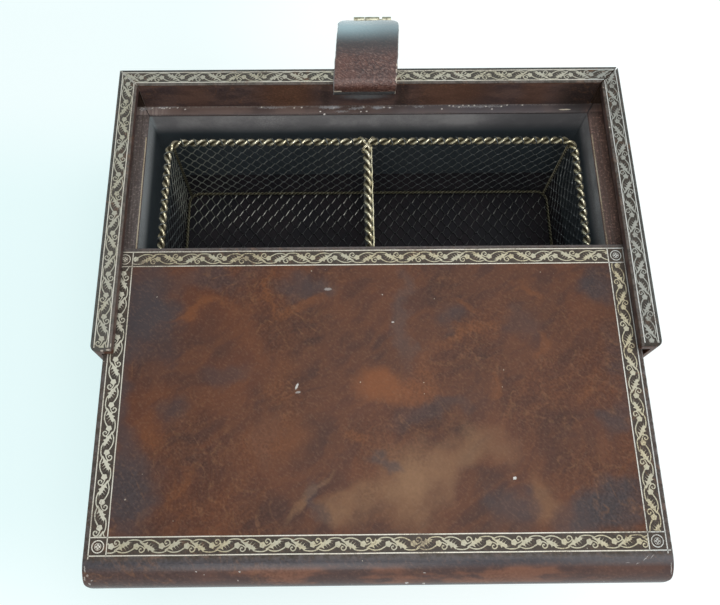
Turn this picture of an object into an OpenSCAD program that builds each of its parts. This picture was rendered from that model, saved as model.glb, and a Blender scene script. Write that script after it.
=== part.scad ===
// Leather-covered tobacco box with a sliding lid, a strap and a two-part wire basket.
// Frame: +X right, +Y to the back, +Z up; origin at the centre of the base's underside.

/* [Box] */
// Outside width, left to right
box_w = 250; // [200:1:300]
// Outside depth, front to back
box_d = 147; // [125:1:190]
// Height from the base to the top of the rim
box_h = 88; // [78:1:120]
// Thickness of the bottom board
bottom_t = 8; // [5:0.5:12]
// Thickness of the sheet under the base
base_t = 0.8; // [0.5:0.1:1.5]

/* [Walls] */
// Thickness of the wooden walls
wall_t = 7.4; // [7:0.1:12]
// Thickness of the leather on the outside and over the rim
cover_t = 1.2; // [0.8:0.1:1.6]
// Thickness of the leather on the inner faces and ledges
facing_t = 0.8; // [0.5:0.1:1.4]
// Gap in the leather at the left back mitre
left_mitre_gap = 0.2; // [0.1:0.05:1]
// Gap in the leather at the right back mitre, which has opened
right_mitre_gap = 0.9; // [0.1:0.05:1.5]

/* [Well] */
// Width of the ledge along each side, inside the rim
side_ledge = 2.3; // [1.5:0.1:6]
// Width of the ledge along the back
back_ledge_w = 5.4; // [2:0.1:9]
// Width of the ledge along the front, under the lid
front_ledge = 2.3; // [1.5:0.1:6]
// Thickness of the lining on the floor
lining_t = 0.8; // [0.5:0.1:1.5]

/* [Lid groove] */
// Height of the lip over each groove, from the top of the rim
lip_t = 4.2; // [3.2:0.1:6]
// Depth of each groove, from the lip's inner face
groove_depth = 5.4; // [4:0.1:5.8]
// Gap under the lid in its grooves
lid_under_gap = 0.3; // [0.2:0.05:0.8]
// Gap over the lid in its grooves
lid_over_gap = 1.3; // [0.3:0.05:2]
// Side play of the lid, on each side when it is centred
lid_side_play = 1.65; // [0.4:0.05:2]
// Gap left beside the lid where it lies against the left groove
lid_left_gap = 0.25; // [0.2:0.05:0.4]

/* [Lid] */
// Thickness of the lid
lid_t = 12.2; // [10:0.1:16]
// Thickness of the leather on the lid
lid_leather_t = 1; // [0.7:0.1:1.5]
// Thickness of the lining under the lid
lid_lining_t = 0.8; // [0.5:0.1:1.5]
// How far the flat top of the closed lid reaches past the front
lid_overhang = 2.8; // [1:0.1:6]
// Length of the rounded front rail
nose_len = 11; // [8:0.5:14]
// Radius of the nose's lower front edge
nose_lower_r = 3; // [2:0.5:4]
// Gap between the closed lid and the strap's root
lid_back_gap = 0.4; // [0.3:0.1:3]
// How far the lid is drawn out as it stands here
lid_drawn = 83; // [0:1:110]

/* [Strap] */
// Width of the strap
strap_w = 31.5; // [24:0.5:40]
// Thickness of the outer leather layers of the strap, each
strap_leather_t = 1; // [0.8:0.1:1.4]
// Place of the strap's root left (-) or right (+) of the middle
strap_x = -2.5; // [-6:0.1:6]
// How far the strap leans to the right by its end
strap_lean = 2.7; // [-5:0.1:5]
// Length of the root that is glued inside the back wall
strap_root_len = 7.7; // [5:0.1:12]
// How far the strap runs level beyond the back of the box
strap_level_len = 11.7; // [6:0.1:20]
// Radius of the strap's bend towards its end
strap_bend_r = 36; // [24:1:60]
// Angle of that bend
strap_bend = 35; // [15:1:50]
// Radius of the strap's end corners
strap_corner_r = 5; // [2:0.5:9]
// Gap between the strap and the rim it lies on
strap_gap = 0.3; // [0.2:0.05:0.5]

/* [Brass hinge] */
// Outer diameter of the hinge's knuckles
knuckle_d = 3.8; // [3:0.1:5]
// Diameter of the hinge pin
hinge_pin_d = 1.6; // [1.2:0.1:2]
// Clearance round the pin, on the radius
pin_clear = 0.05; // [0.02:0.01:0.09]
// Length of the left knuckle
left_knuckle = 5.6; // [4:0.1:8]
// Length of the hasp's middle knuckle
mid_knuckle = 7.5; // [4:0.1:8]
// Length of the right knuckle
right_knuckle = 4.6; // [3:0.1:8]
// Gap between the left and the middle knuckle
knuckle_gap = 0.3; // [0.2:0.05:0.5]
// Gap between the middle and the right knuckle, where the pin shows
pin_show = 1.5; // [0.3:0.1:3]
// How far the knuckles stand off the strap's end
knuckle_reach = 1.5; // [0.3:0.1:3]
// Place of the hinge's middle from the middle of the strap's end
hinge_x = 2.4; // [-4:0.1:4]
// Thickness of the brass sheet, and of the filler beside it in the strap
brass_t = 0.6; // [0.4:0.1:1]
// Length of the leaf held in the strap
leaf_len = 12; // [6:0.5:18]
// Gap between the leaf and the filler beside it
leaf_gap = 0.2; // [0.1:0.05:0.5]
// Width of the hasp plate
hasp_w = 14; // [9:0.5:18]
// Length of the hasp plate below the knuckle
hasp_len = 17; // [10:0.5:19]
// Width of the slot in the hasp plate
slot_w = 8; // [5:0.5:9]
// Height of the slot in the hasp plate
slot_h = 3; // [2:0.5:4]

/* [Basket] */
// Gap between the basket's rim and the side liners
basket_side_gap = 6.2; // [3:0.1:12]
// Gap between the basket's rim and the back liner
basket_back_gap = 10.3; // [4:0.1:16]
// Gap between the basket's rim and the front liner
basket_front_gap = 10.3; // [4:0.1:16]
// Place of the basket right of the middle
basket_x = 1.4; // [-2.5:0.1:2.5]
// Place of the divider from the basket's middle
divider_x = -2.5; // [-12:0.1:12]
// Depth of the basket's rim below the ledge
basket_drop = 4.7; // [2:0.1:9]
// Diameter of the twisted rim wire over its strands
rim_wire_d = 4; // [2.4:0.1:4.4]
// Diameter of the twisted divider wire
divider_wire_d = 3.6; // [2:0.1:4]
// Diameter of the thin twisted wires at the corners and the floor
thin_wire_d = 1.8; // [1.4:0.1:2.2]
// Diameter of the wire that ties the divider to the rim
binding_d = 0.7; // [0.5:0.1:0.9]
// Radius of the basket's corners at the rim wire's centre
basket_corner_r = 6; // [4:0.5:10]
// Gap between wires and netting where they meet
wire_gap = 0.2; // [0.1:0.05:0.3]

/* [Netting] */
// Width of one cell of the netting
cell = 14; // [13.5:0.5:24]
// Width of the netting's strands
strand = 1; // [0.6:0.1:2]
// Thickness of the netting
net_t = 0.6; // [0.4:0.1:1]

/* [Nails] */
// Diameter of the nails
nail_d = 1.6; // [1.2:0.1:2.2]
// Length of the nails
nail_len = 20; // [14:1:26]
// Diameter of the nail heads
nail_head_d = 3.4; // [2.6:0.1:4.4]
// Thickness of the nail heads
nail_head_t = 0.8; // [0.5:0.1:1.2]
// Clearance round the nails, on the radius
nail_clear = 0.05; // [0.02:0.01:0.09]

/* [Hidden] */
$fn = 48;
eps = 0.01;
leather = "#5a3222";
grey_leather = "#5d5b59";
wood = "#b48a5c";
brass = "#b39c5c";
dark_wire = "#55503f";
steel = "#8c8f92";

// Half sizes of the box and the layers of its walls, measured inwards from the outside
half_w = box_w / 2;
half_d = box_d / 2;
wood_out = cover_t;
wood_in = cover_t + wall_t;
rim_in = wood_in + facing_t;
groove_in = rim_in - groove_depth;
board_top = base_t + bottom_t;
floor_top = board_top + lining_t;

// Heights of the groove and the lid
groove_top = box_h - lip_t;
ledge_z = groove_top - lid_over_gap - lid_t - lid_under_gap;
lid_z = ledge_z + lid_under_gap;
lid_top = lid_z + lid_t;

// Inner faces of the well
well_x = half_w - rim_in - side_ledge;
well_back = half_d - rim_in - back_ledge_w;
well_front = -half_d + rim_in + front_ledge;
back_face = half_d - rim_in;

// The lid, as wide as its grooves allow
lid_w = 2 * (half_w - groove_in - lid_side_play);
lid_x = lid_left_gap - lid_side_play;
strap_core_t = brass_t;
strap_t = 2 * strap_leather_t + strap_core_t;
lid_back_closed = back_face - strap_t - lid_back_gap;
lid_back = lid_back_closed - lid_drawn;
lid_flat = lid_back_closed + half_d + lid_overhang;
nose_y = lid_back - lid_flat;

// The strap folds about the middle of its thickness at the inner edge of the rim
fold_y = back_face - strap_t / 2;
fold_z = box_h + strap_gap + strap_t / 2;
strap_level = half_d + strap_level_len - fold_y;
strap_end_y = fold_y + strap_level + strap_bend_r * sin(strap_bend);
strap_end_z = fold_z - strap_bend_r * (1 - cos(strap_bend));
hinge_off = knuckle_d / 2 + knuckle_reach;
hinge_y = strap_end_y + hinge_off * cos(strap_bend);
hinge_z = strap_end_z - hinge_off * sin(strap_bend);
hinge_w = left_knuckle + knuckle_gap + mid_knuckle + pin_show + right_knuckle;
hinge_mid_x = strap_x + strap_lean + hinge_x;
knuckle_x0 = hinge_mid_x - hinge_w / 2;
knuckle_x1 = knuckle_x0 + left_knuckle + knuckle_gap;
knuckle_x2 = knuckle_x1 + mid_knuckle + pin_show;

// The basket, measured to the centre of its rim wire
wire_r = rim_wire_d / 2;
basket_half = well_x - basket_side_gap - wire_r;
basket_back = well_back - basket_back_gap - wire_r;
basket_front = well_front + basket_front_gap + wire_r;
basket_len = basket_back - basket_front;
rim_wire_z = ledge_z - basket_drop - wire_r;
net_floor_z = floor_top + wire_gap;
wall_net_z0 = net_floor_z + net_t + wire_gap;
wall_net_z1 = rim_wire_z - wire_r - binding_d - 2 * wire_gap;
divider_at = basket_x + divider_x;
corner_in = basket_corner_r * (1 - sqrt(0.5));
base_wire_z = wall_net_z0 + thin_wire_d / 2;
base_inset = net_t / 2 + wire_gap + thin_wire_d / 2;

// A box between two corners
module block(a, b) {
    translate(a) cube(b - a);
}

// The right side's shape, or its mirror image on the left
module on_side(side) {
    if (side < 0) mirror([1, 0, 0]) children();
    else children();
}

// A section drawn in (inward distance, height), run from y0 to y1 along a side wall
module along_side(side, y0, y1) {
    on_side(side)
        translate([half_w, y0, 0])
            mirror([1, 0, 0])
                translate([0, y1 - y0, 0])
                    rotate([90, 0, 0])
                        linear_extrude(y1 - y0)
                            children();
}

// Places of the nails: rows up from below, and pairs of heights at the corners
side_nail_y = [for (k = [-1.5 : 1 : 1.5]) k * (box_d - 40) / 3];
end_nail_x = [for (k = [-1 : 1]) k * (box_w - 60) / 2];
corner_nail_z = [for (k = [0 : 2]) board_top + 10 + k * (ledge_z - board_top - 20) / 2];
wall_mid = cover_t + wall_t / 2;

module nail(clear) {
    cylinder(d = nail_d + 2 * clear, h = nail_len + clear);
    cylinder(d = nail_head_d + 2 * clear, h = nail_head_t);
}

module bottom_nail_set(clear) {
    for (side = [-1, 1], y = side_nail_y)
        translate([side * (half_w - wall_mid), y, base_t]) nail(clear);
    for (end = [-1, 1], x = end_nail_x)
        translate([x, end * (half_d - wall_mid), base_t]) nail(clear);
}

module corner_nail_set(clear) {
    for (side = [-1, 1], end = [-1, 1], z = corner_nail_z)
        translate([side * (half_w - cover_t), end * (half_d - wall_mid), z])
            rotate([0, -side * 90, 0]) nail(clear);
}

module bottom_nails() {
    color(steel) bottom_nail_set(0);
}

module corner_nails() {
    color(steel) corner_nail_set(0);
}

module bottom_board() {
    color(wood)
        difference() {
            block([-half_w + cover_t, -half_d + cover_t, base_t],
                  [half_w - cover_t, half_d - cover_t, board_top]);
            bottom_nail_set(nail_clear);
        }
}

module base_cover() {
    color("#3c2a22")
        block([-half_w + cover_t, -half_d + cover_t, 0], [half_w - cover_t, half_d - cover_t, base_t]);
}

// Wooden side wall with the lid's groove, which stops at the back wall
module side_wall(side) {
    color(wood)
        difference() {
            along_side(side, -half_d + cover_t, half_d - cover_t)
                translate([wood_out, board_top])
                    square([wall_t, box_h - cover_t - board_top]);
            along_side(side, -half_d, back_face)
                translate([groove_in, ledge_z - facing_t])
                    square([groove_depth, groove_top - ledge_z + facing_t]);
            bottom_nail_set(nail_clear);
            corner_nail_set(nail_clear);
        }
}

module left_wall() { side_wall(-1); }
module right_wall() { side_wall(1); }

module back_wall() {
    color(wood)
        difference() {
            block([-half_w + wood_in, half_d - wood_in, board_top],
                  [half_w - wood_in, half_d - cover_t, box_h - cover_t]);
            bottom_nail_set(nail_clear);
            corner_nail_set(nail_clear);
        }
}

module front_wall() {
    color(wood)
        difference() {
            block([-half_w + wood_in, -half_d + cover_t, board_top],
                  [half_w - wood_in, -half_d + wood_in, ledge_z - cover_t]);
            bottom_nail_set(nail_clear);
            corner_nail_set(nail_clear);
        }
}

// Plan of the leather on the right side, cut at 45 degrees at the back corner
module side_plan(gap) {
    reach = rim_in + eps;
    back_cut = half_d - gap * sqrt(0.5);
    polygon([[half_w, -half_d], [half_w, back_cut], [half_w - reach, back_cut - reach],
             [half_w - reach, -half_d]]);
}

// Leather of a side wall: outer face, top of the rim, inner face of the lip and the front end
module side_cover(side, gap) {
    color(leather)
        intersection() {
            union() {
                along_side(side, -half_d, half_d) {
                    square([cover_t, box_h]);
                    translate([0, box_h - cover_t]) square([rim_in, cover_t]);
                    translate([wood_in, groove_top]) square([facing_t, lip_t]);
                }
                along_side(side, -half_d, -half_d + cover_t)
                    difference() {
                        square([rim_in, box_h]);
                        translate([groove_in, ledge_z]) square([rim_in, groove_top - ledge_z]);
                    }
            }
            on_side(side) linear_extrude(box_h) side_plan(gap);
        }
}

module left_cover() { side_cover(-1, left_mitre_gap); }
module right_cover() { side_cover(1, right_mitre_gap); }

// Leather of the back wall: outer face, top of the rim and the inner face down to the ledge
module back_cover() {
    left = left_mitre_gap * sqrt(0.5);
    right = right_mitre_gap * sqrt(0.5);
    color(leather)
        intersection() {
            union() {
                block([-half_w, half_d - cover_t, 0], [half_w, half_d, box_h]);
                block([-half_w, back_face, box_h - cover_t], [half_w, half_d, box_h]);
                block([-half_w + rim_in, back_face, ledge_z],
                      [half_w - rim_in, back_face + facing_t, box_h]);
            }
            linear_extrude(box_h)
                polygon([[-half_w + left, half_d], [half_w - right, half_d],
                         [half_w - right - rim_in, back_face], [-half_w + left + rim_in, back_face]]);
        }
}

// Leather of the front wall, turned over its top for the lid to slide across
module front_cover() {
    color(leather) {
        block([-half_w + rim_in, -half_d, 0], [half_w - rim_in, -half_d + cover_t, ledge_z]);
        block([-well_x, -half_d + cover_t, ledge_z - cover_t], [well_x, well_front, ledge_z]);
    }
}

// Leather on a side ledge, which is the floor of the groove as well
module runner(side) {
    color(leather)
        on_side(side)
            block([well_x, -half_d + cover_t, ledge_z - facing_t],
                  [half_w - groove_in, well_back, ledge_z]);
}

module left_runner() { runner(-1); }
module right_runner() { runner(1); }

module back_ledge() {
    reach = half_w - groove_in;
    color(leather)
        block([-reach, well_back, ledge_z - facing_t], [reach, back_face, ledge_z]);
}

module side_liner(side) {
    color(grey_leather)
        on_side(side)
            block([well_x, -half_d + wood_in, board_top],
                  [half_w - wood_in, half_d - wood_in, ledge_z - facing_t]);
}

module left_liner() { side_liner(-1); }
module right_liner() { side_liner(1); }

module back_liner() {
    color(grey_leather)
        block([-well_x, well_back, board_top], [well_x, half_d - wood_in, ledge_z - facing_t]);
}

module front_liner() {
    color(grey_leather)
        block([-well_x, -half_d + wood_in, board_top], [well_x, well_front, ledge_z - cover_t]);
}

module floor_lining() {
    color("#3a2f2b")
        block([-well_x, well_front, board_top], [well_x, well_back, floor_top]);
}

// Side outline of the rounded nose, set in by a skin thickness; it starts at y = 0 and runs to -y
function nose_outline(skin) =
    let (len = nose_len - skin, low = nose_lower_r - skin, high = lid_t - nose_lower_r - skin)
    concat([[0, skin]],
           [for (a = [90 : -15 : 0]) [-len + low - low * cos(a), nose_lower_r - low * sin(a)]],
           [for (a = [6 : 6 : 90]) [-len * cos(a), nose_lower_r + high * sin(a)]]);

// A side outline in (y, z), run across the width from x0 to x1
module across(x0, x1) {
    translate([x0, 0, 0]) rotate([90, 0, 90]) linear_extrude(x1 - x0) children();
}

module nose_rail() {
    skin = lid_leather_t;
    color(wood)
        translate([lid_x, nose_y, lid_z])
            across(-lid_w / 2 + skin, lid_w / 2 - skin) polygon(nose_outline(skin));
}

module nose_cover() {
    color(leather)
        translate([lid_x, nose_y, lid_z])
            difference() {
                across(-lid_w / 2, lid_w / 2) polygon(nose_outline(0));
                across(-lid_w / 2 + lid_leather_t, lid_w / 2 - lid_leather_t)
                    union() {
                        polygon(nose_outline(lid_leather_t));
                        translate([0, lid_leather_t])
                            square([eps, lid_t - 2 * lid_leather_t]);
                    }
            }
}

module lid_board() {
    skin = lid_leather_t;
    color(wood)
        translate([lid_x, 0, 0])
            block([-lid_w / 2 + skin, nose_y, lid_z + lid_lining_t],
                  [lid_w / 2 - skin, lid_back - skin, lid_top - skin]);
}

module lid_lining() {
    skin = lid_leather_t;
    color("#4a342a")
        translate([lid_x, 0, 0])
            block([-lid_w / 2 + skin, nose_y, lid_z], [lid_w / 2 - skin, lid_back - skin, lid_z + lid_lining_t]);
}

// Leather over the top, the long sides and the back edge of the lid
module lid_cover() {
    skin = lid_leather_t;
    color(leather)
        translate([lid_x, 0, 0])
            difference() {
                block([-lid_w / 2, nose_y, lid_z], [lid_w / 2, lid_back, lid_top]);
                block([-lid_w / 2 + skin, nose_y - eps, lid_z - eps],
                      [lid_w / 2 - skin, lid_back - skin, lid_top - skin]);
            }
}

module strap_root() {
    color(leather)
        block([strap_x - strap_w / 2, back_face - strap_t, box_h - strap_gap - strap_root_len],
              [strap_x + strap_w / 2, back_face, box_h - strap_gap]);
}

// Points along the flap's bend at height h from the middle of its thickness
function flap_bend(h) =
    [for (k = [0 : 7]) let (a = k * strap_bend / 7)
        [strap_level + (strap_bend_r + h) * sin(a), -strap_bend_r + (strap_bend_r + h) * cos(a)]];

function reversed(list) = [for (k = [len(list) - 1 : -1 : 0]) list[k]];

// Side outline of a layer of the flap between two heights from the middle of its thickness
module flap_outline(low, high) {
    polygon(concat([[0, low]], flap_bend(low), reversed(flap_bend(high)), [[0, high]]));
}

module flap_layer(low, high) {
    intersection() {
        translate([strap_x, fold_y, fold_z]) across(-strap_w, strap_w) flap_outline(low, high);
        translate([0, 0, strap_end_z - strap_t])
            linear_extrude(fold_z - strap_end_z + 2 * strap_t) strap_plan();
    }
}

// Plan of the flap: a band that leans, with round corners at its end
module strap_plan() {
    r = strap_corner_r;
    reach = strap_level + (strap_bend_r + strap_t / 2) * sin(strap_bend);
    translate([strap_x, fold_y]) {
        polygon([[-strap_w / 2, 0], [strap_w / 2, 0],
                 [strap_w / 2 + strap_lean, reach - r], [-strap_w / 2 + strap_lean, reach - r]]);
        for (side = [-1, 1])
            translate([side * (strap_w / 2 - r) + strap_lean, reach - r]) circle(r);
        translate([-strap_w / 2 + r + strap_lean, reach - r]) square([strap_w - 2 * r, r]);
    }
}

module strap_face() {
    color(leather)
        union() {
            flap_layer(strap_core_t / 2, strap_t / 2);
            fold_round(strap_core_t / 2, strap_t / 2);
        }
}

module strap_back() {
    color(leather)
        union() {
            flap_layer(-strap_t / 2, -strap_core_t / 2);
            fold_round(-strap_t / 2, -strap_core_t / 2);
        }
}

// Quarter of the rounded fold that belongs to one layer
module fold_round(low, high) {
    outer = max(abs(low), abs(high));
    inner = min(abs(low), abs(high));
    translate([strap_x, fold_y, fold_z])
        across(-strap_w / 2, strap_w / 2)
            intersection() {
                difference() {
                    circle(outer);
                    circle(inner);
                }
                translate([-outer, low < 0 ? -outer : 0]) square([outer, outer]);
            }
}

module strap_core() {
    color("#7a5236")
        difference() {
            flap_layer(-strap_core_t / 2, strap_core_t / 2);
            across_hinge(leaf_gap) leaf_zone(leaf_gap);
        }
}

// A side outline in the flap's own (y, z), run across the hinge's width and a gap on each side
module across_hinge(gap) {
    translate([hinge_mid_x, fold_y, fold_z])
        across(-hinge_w / 2 - gap, hinge_w / 2 + gap) children();
}

// Side outline of the room at the flap's end that is as long as the leaf and a gap
module leaf_zone(gap) {
    length = leaf_len + gap;
    translate([strap_end_y - fold_y, strap_end_z - fold_z])
        rotate(-strap_bend)
            translate([-length, -length]) square(2 * length);
}

// Brass leaf inside the strap's end, which follows the strap's bend for its length
module leaf_plate() {
    across_hinge(0)
        intersection() {
            flap_outline(-strap_core_t / 2, strap_core_t / 2);
            leaf_zone(0);
        }
}

module knuckle(x0, length) {
    translate([x0, hinge_y, hinge_z]) rotate([0, 90, 0]) cylinder(d = knuckle_d, h = length);
}

module pin_bore(x0, length) {
    translate([x0 - 1, hinge_y, hinge_z])
        rotate([0, 90, 0]) cylinder(d = hinge_pin_d + 2 * pin_clear, h = length + 2);
}

module hinge_leaf() {
    color(brass)
        difference() {
            union() {
                leaf_plate();
                for (k = [[knuckle_x0, left_knuckle], [knuckle_x2, right_knuckle]]) {
                    knuckle(k[0], k[1]);
                    neck(k[0], k[1]);
                }
            }
            pin_bore(knuckle_x0, hinge_w);
        }
}

// Short neck from the leaf to a knuckle, in line with the strap's end
module neck(x0, length) {
    translate([x0, strap_end_y, strap_end_z])
        rotate([-strap_bend, 0, 0])
            translate([0, -eps, -brass_t / 2]) cube([length, hinge_off, brass_t]);
}

module hinge_pin() {
    color(brass)
        translate([knuckle_x0, hinge_y, hinge_z])
            rotate([0, 90, 0]) cylinder(d = hinge_pin_d, h = hinge_w);
}

// The hasp hangs straight down from its middle knuckle
module hasp_plate() {
    mid = knuckle_x1 + mid_knuckle / 2;
    corner = hasp_w / 4;
    drop = knuckle_d / 2 + wire_gap;
    color(brass)
        difference() {
            union() {
                knuckle(knuckle_x1, mid_knuckle);
                translate([knuckle_x1, hinge_y - brass_t / 2, hinge_z - drop - eps])
                    cube([mid_knuckle, brass_t, drop]);
                translate([mid, hinge_y + brass_t / 2, hinge_z - drop])
                    rotate([90, 0, 0])
                        linear_extrude(brass_t)
                            difference() {
                                union() {
                                    translate([-hasp_w / 2, -hasp_len + corner])
                                        square([hasp_w, hasp_len - corner]);
                                    translate([-hasp_w / 2 + corner, -hasp_len])
                                        square([hasp_w - 2 * corner, corner + eps]);
                                    for (side = [-1, 1])
                                        translate([side * (hasp_w / 2 - corner), -hasp_len + corner])
                                            circle(corner);
                                }
                                translate([-slot_w / 2, -hasp_len / 2 - slot_h / 2])
                                    square([slot_w, slot_h]);
                            }
            }
            pin_bore(knuckle_x1, mid_knuckle);
        }
}

// A closed wire loop round the basket at height z, with round corners
module wire_loop(inset, corner, d, z) {
    hx = basket_half - inset;
    y0 = basket_front + inset;
    y1 = basket_back - inset;
    for (side = [-1, 1])
        translate([basket_x + side * hx, y0 + corner, z])
            rotate([-90, 0, 0]) cylinder(d = d, h = y1 - y0 - 2 * corner);
    for (y = [y0, y1])
        translate([basket_x - hx + corner, y, z])
            rotate([0, 90, 0]) cylinder(d = d, h = 2 * (hx - corner));
    for (c = [[-1, y0 + corner, 180], [1, y0 + corner, 270], [1, y1 - corner, 0], [-1, y1 - corner, 90]])
        translate([basket_x + c[0] * (hx - corner), c[1], z])
            rotate([0, 0, c[2]])
                rotate_extrude(angle = 90) translate([corner, 0]) circle(d = d);
}

module rim_wire() {
    color(brass) wire_loop(0, basket_corner_r, rim_wire_d, rim_wire_z);
}

module base_wire() {
    color(brass) wire_loop(base_inset, basket_corner_r, thin_wire_d, base_wire_z);
}

module divider_wire() {
    inset = wire_r + wire_gap;
    color(brass)
        translate([divider_at, basket_front + inset, rim_wire_z])
            rotate([-90, 0, 0]) cylinder(d = divider_wire_d, h = basket_len - 2 * inset);
}

// Cords down the corners, inside the rounded corner of the rim and over the base wire
module corner_wires() {
    inset = corner_in + thin_wire_d / 2;
    color(brass)
        for (side = [-1, 1], y = [basket_front + inset, basket_back - inset])
            translate([basket_x + side * (basket_half - inset), y, base_wire_z + thin_wire_d / 2 + wire_gap])
                cylinder(d = thin_wire_d,
                         h = rim_wire_z - wire_r - 2 * wire_gap - base_wire_z - thin_wire_d / 2);
}

// A ring of binding wire round a wire along x or y
module binding(at, along_y, d) {
    translate(at)
        rotate(along_y ? [90, 0, 0] : [0, 90, 0])
            rotate_extrude() translate([d / 2 + wire_gap / 2 + binding_d / 2, 0]) circle(d = binding_d);
}

module binding_wires() {
    rim_side = divider_wire_d / 2 + wire_gap + binding_d / 2;
    divider_in = wire_r + binding_d + 2 * wire_gap;
    color(brass)
        for (end = [-1, 1]) {
            y = end < 0 ? basket_front : basket_back;
            for (side = [-1, 1], turn = [0, 1])
                binding([divider_at + side * (rim_side + turn * (binding_d + wire_gap)), y, rim_wire_z],
                        false, rim_wire_d);
            for (turn = [0 : 2])
                binding([divider_at, y - end * (divider_in + turn * (binding_d + wire_gap)), rim_wire_z],
                        true, divider_wire_d);
        }
}

// A flat net of whole hexagonal cells, centred in a w by h panel
module net(w, h) {
    row = cell * sqrt(3) / 2;
    hole_r = (cell - strand) / sqrt(3);
    rows = max(1, floor((h - 2 * strand - 2 * hole_r) / row) + 1);
    linear_extrude(net_t, center = true)
        difference() {
            square([w, h], center = true);
            for (j = [0 : rows - 1]) {
                shift = j % 2 == 0 ? 0 : cell / 2;
                half = (w / 2 - strand - cell / 2 + strand / 2 - shift) / cell;
                for (k = [-floor(half + (j % 2)) : floor(half)])
                    translate([k * cell + shift, (j - (rows - 1) / 2) * row])
                        rotate(30) circle(hole_r, $fn = 6);
            }
        }
}

module wall_net_x(y) {
    w = 2 * basket_half - net_t - 2 * wire_gap;
    h = wall_net_z1 - wall_net_z0;
    color(dark_wire)
        translate([basket_x, y, (wall_net_z0 + wall_net_z1) / 2]) rotate([90, 0, 0]) net(w, h);
}

module wall_net_y(x, length) {
    h = wall_net_z1 - wall_net_z0;
    color(dark_wire)
        translate([x, (basket_front + basket_back) / 2, (wall_net_z0 + wall_net_z1) / 2])
            rotate([90, 0, 90]) net(length, h);
}

module back_net() { wall_net_x(basket_back); }
module front_net() { wall_net_x(basket_front); }
module left_net() { wall_net_y(basket_x - basket_half, basket_len + net_t); }
module right_net() { wall_net_y(basket_x + basket_half, basket_len + net_t); }

module divider_net() {
    inset = base_inset + thin_wire_d / 2 + wire_gap;
    wall_net_y(divider_at, basket_len - 2 * inset);
}

module floor_net() {
    color(dark_wire)
        translate([basket_x, (basket_front + basket_back) / 2, net_floor_z + net_t / 2])
            net(2 * basket_half + net_t, basket_len + net_t);
}

bottom_board();
left_wall();
right_wall();
back_wall();
front_wall();
bottom_nails();
corner_nails();
left_cover();
right_cover();
back_cover();
front_cover();
base_cover();
left_runner();
right_runner();
back_ledge();
left_liner();
right_liner();
back_liner();
front_liner();
floor_lining();
lid_board();
nose_rail();
lid_cover();
nose_cover();
lid_lining();
strap_root();
strap_face();
strap_core();
strap_back();
hinge_leaf();
hinge_pin();
hasp_plate();
rim_wire();
divider_wire();
base_wire();
corner_wires();
binding_wires();
back_net();
front_net();
left_net();
right_net();
divider_net();
floor_net();
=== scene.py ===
# %% [markdown]
# A low box covered in mottled calf, with a gilt scroll border, a lid that slides in two grooves, a
# strap with a small brass hinge, and a wire basket inside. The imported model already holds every
# piece at its real size, so this lesson only dresses it: leather is rounded and coloured, wires get
# their twist, netting its cells, and the tooled border is laid on. Everything is in metres.

# %% Load the frame
import math

import bpy
from mathutils import Matrix, Vector, noise


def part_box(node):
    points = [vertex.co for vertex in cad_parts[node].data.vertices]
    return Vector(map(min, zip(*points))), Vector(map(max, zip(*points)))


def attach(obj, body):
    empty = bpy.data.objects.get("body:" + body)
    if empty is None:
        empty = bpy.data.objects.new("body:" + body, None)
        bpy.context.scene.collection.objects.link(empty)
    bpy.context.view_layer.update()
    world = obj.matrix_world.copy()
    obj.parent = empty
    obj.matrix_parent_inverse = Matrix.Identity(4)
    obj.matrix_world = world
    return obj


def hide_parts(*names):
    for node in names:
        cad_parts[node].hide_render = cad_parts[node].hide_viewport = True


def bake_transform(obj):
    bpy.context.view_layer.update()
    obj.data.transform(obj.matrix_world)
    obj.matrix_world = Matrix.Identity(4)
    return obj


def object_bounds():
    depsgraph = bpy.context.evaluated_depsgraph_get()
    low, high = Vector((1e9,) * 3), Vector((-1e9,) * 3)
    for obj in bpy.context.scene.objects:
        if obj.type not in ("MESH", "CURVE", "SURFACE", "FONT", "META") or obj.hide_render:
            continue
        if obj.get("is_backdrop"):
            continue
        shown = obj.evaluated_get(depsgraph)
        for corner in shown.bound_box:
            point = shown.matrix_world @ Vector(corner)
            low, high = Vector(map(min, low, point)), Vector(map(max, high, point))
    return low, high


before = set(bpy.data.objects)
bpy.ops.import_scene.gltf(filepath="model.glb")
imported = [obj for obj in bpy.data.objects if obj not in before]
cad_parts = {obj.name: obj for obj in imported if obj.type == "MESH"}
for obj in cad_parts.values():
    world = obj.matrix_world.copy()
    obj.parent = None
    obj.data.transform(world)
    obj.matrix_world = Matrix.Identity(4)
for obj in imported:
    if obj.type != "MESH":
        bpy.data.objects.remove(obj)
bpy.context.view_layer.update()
MM = 0.001
X, Y, Z = 0, 1, 2

# %% [markdown]
# Finishes, gold lines and wires all line up with the same few edges of the box and the lid. They are
# read from the frame here, so that a stain, a line or a cord stays where the wood and leather are.

# %% Edges of the box and the lid
outside_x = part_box("right_cover")[1].x
outside_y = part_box("back_cover")[1].y
front_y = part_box("left_cover")[0].y
rim_x, rim_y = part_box("right_cover")[0].x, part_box("back_cover")[0].y
rim_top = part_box("left_cover")[1].z
ledge_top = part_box("back_ledge")[1].z
well_x, well_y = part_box("right_runner")[0].x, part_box("back_ledge")[0].y
lid_low, lid_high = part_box("lid_cover")
nose_low, nose_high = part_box("nose_cover")
BAND, RIM_BAND, RIM_LINE = 7.2 * MM, 6.0 * MM, 1.9 * MM
LID_LINE_SIDE, LID_LINE_BACK, LID_LINE_FRONT = 2.3 * MM, 2.2 * MM, 1.3 * MM
line_low = Vector((lid_low.x + LID_LINE_SIDE, lid_low.y + LID_LINE_FRONT))
line_high = Vector((lid_high.x - LID_LINE_SIDE, lid_high.y - LID_LINE_BACK))
print("rim, mm:", round(outside_x / MM, 1), round(outside_y / MM, 1), round(rim_top / MM, 1))

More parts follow.
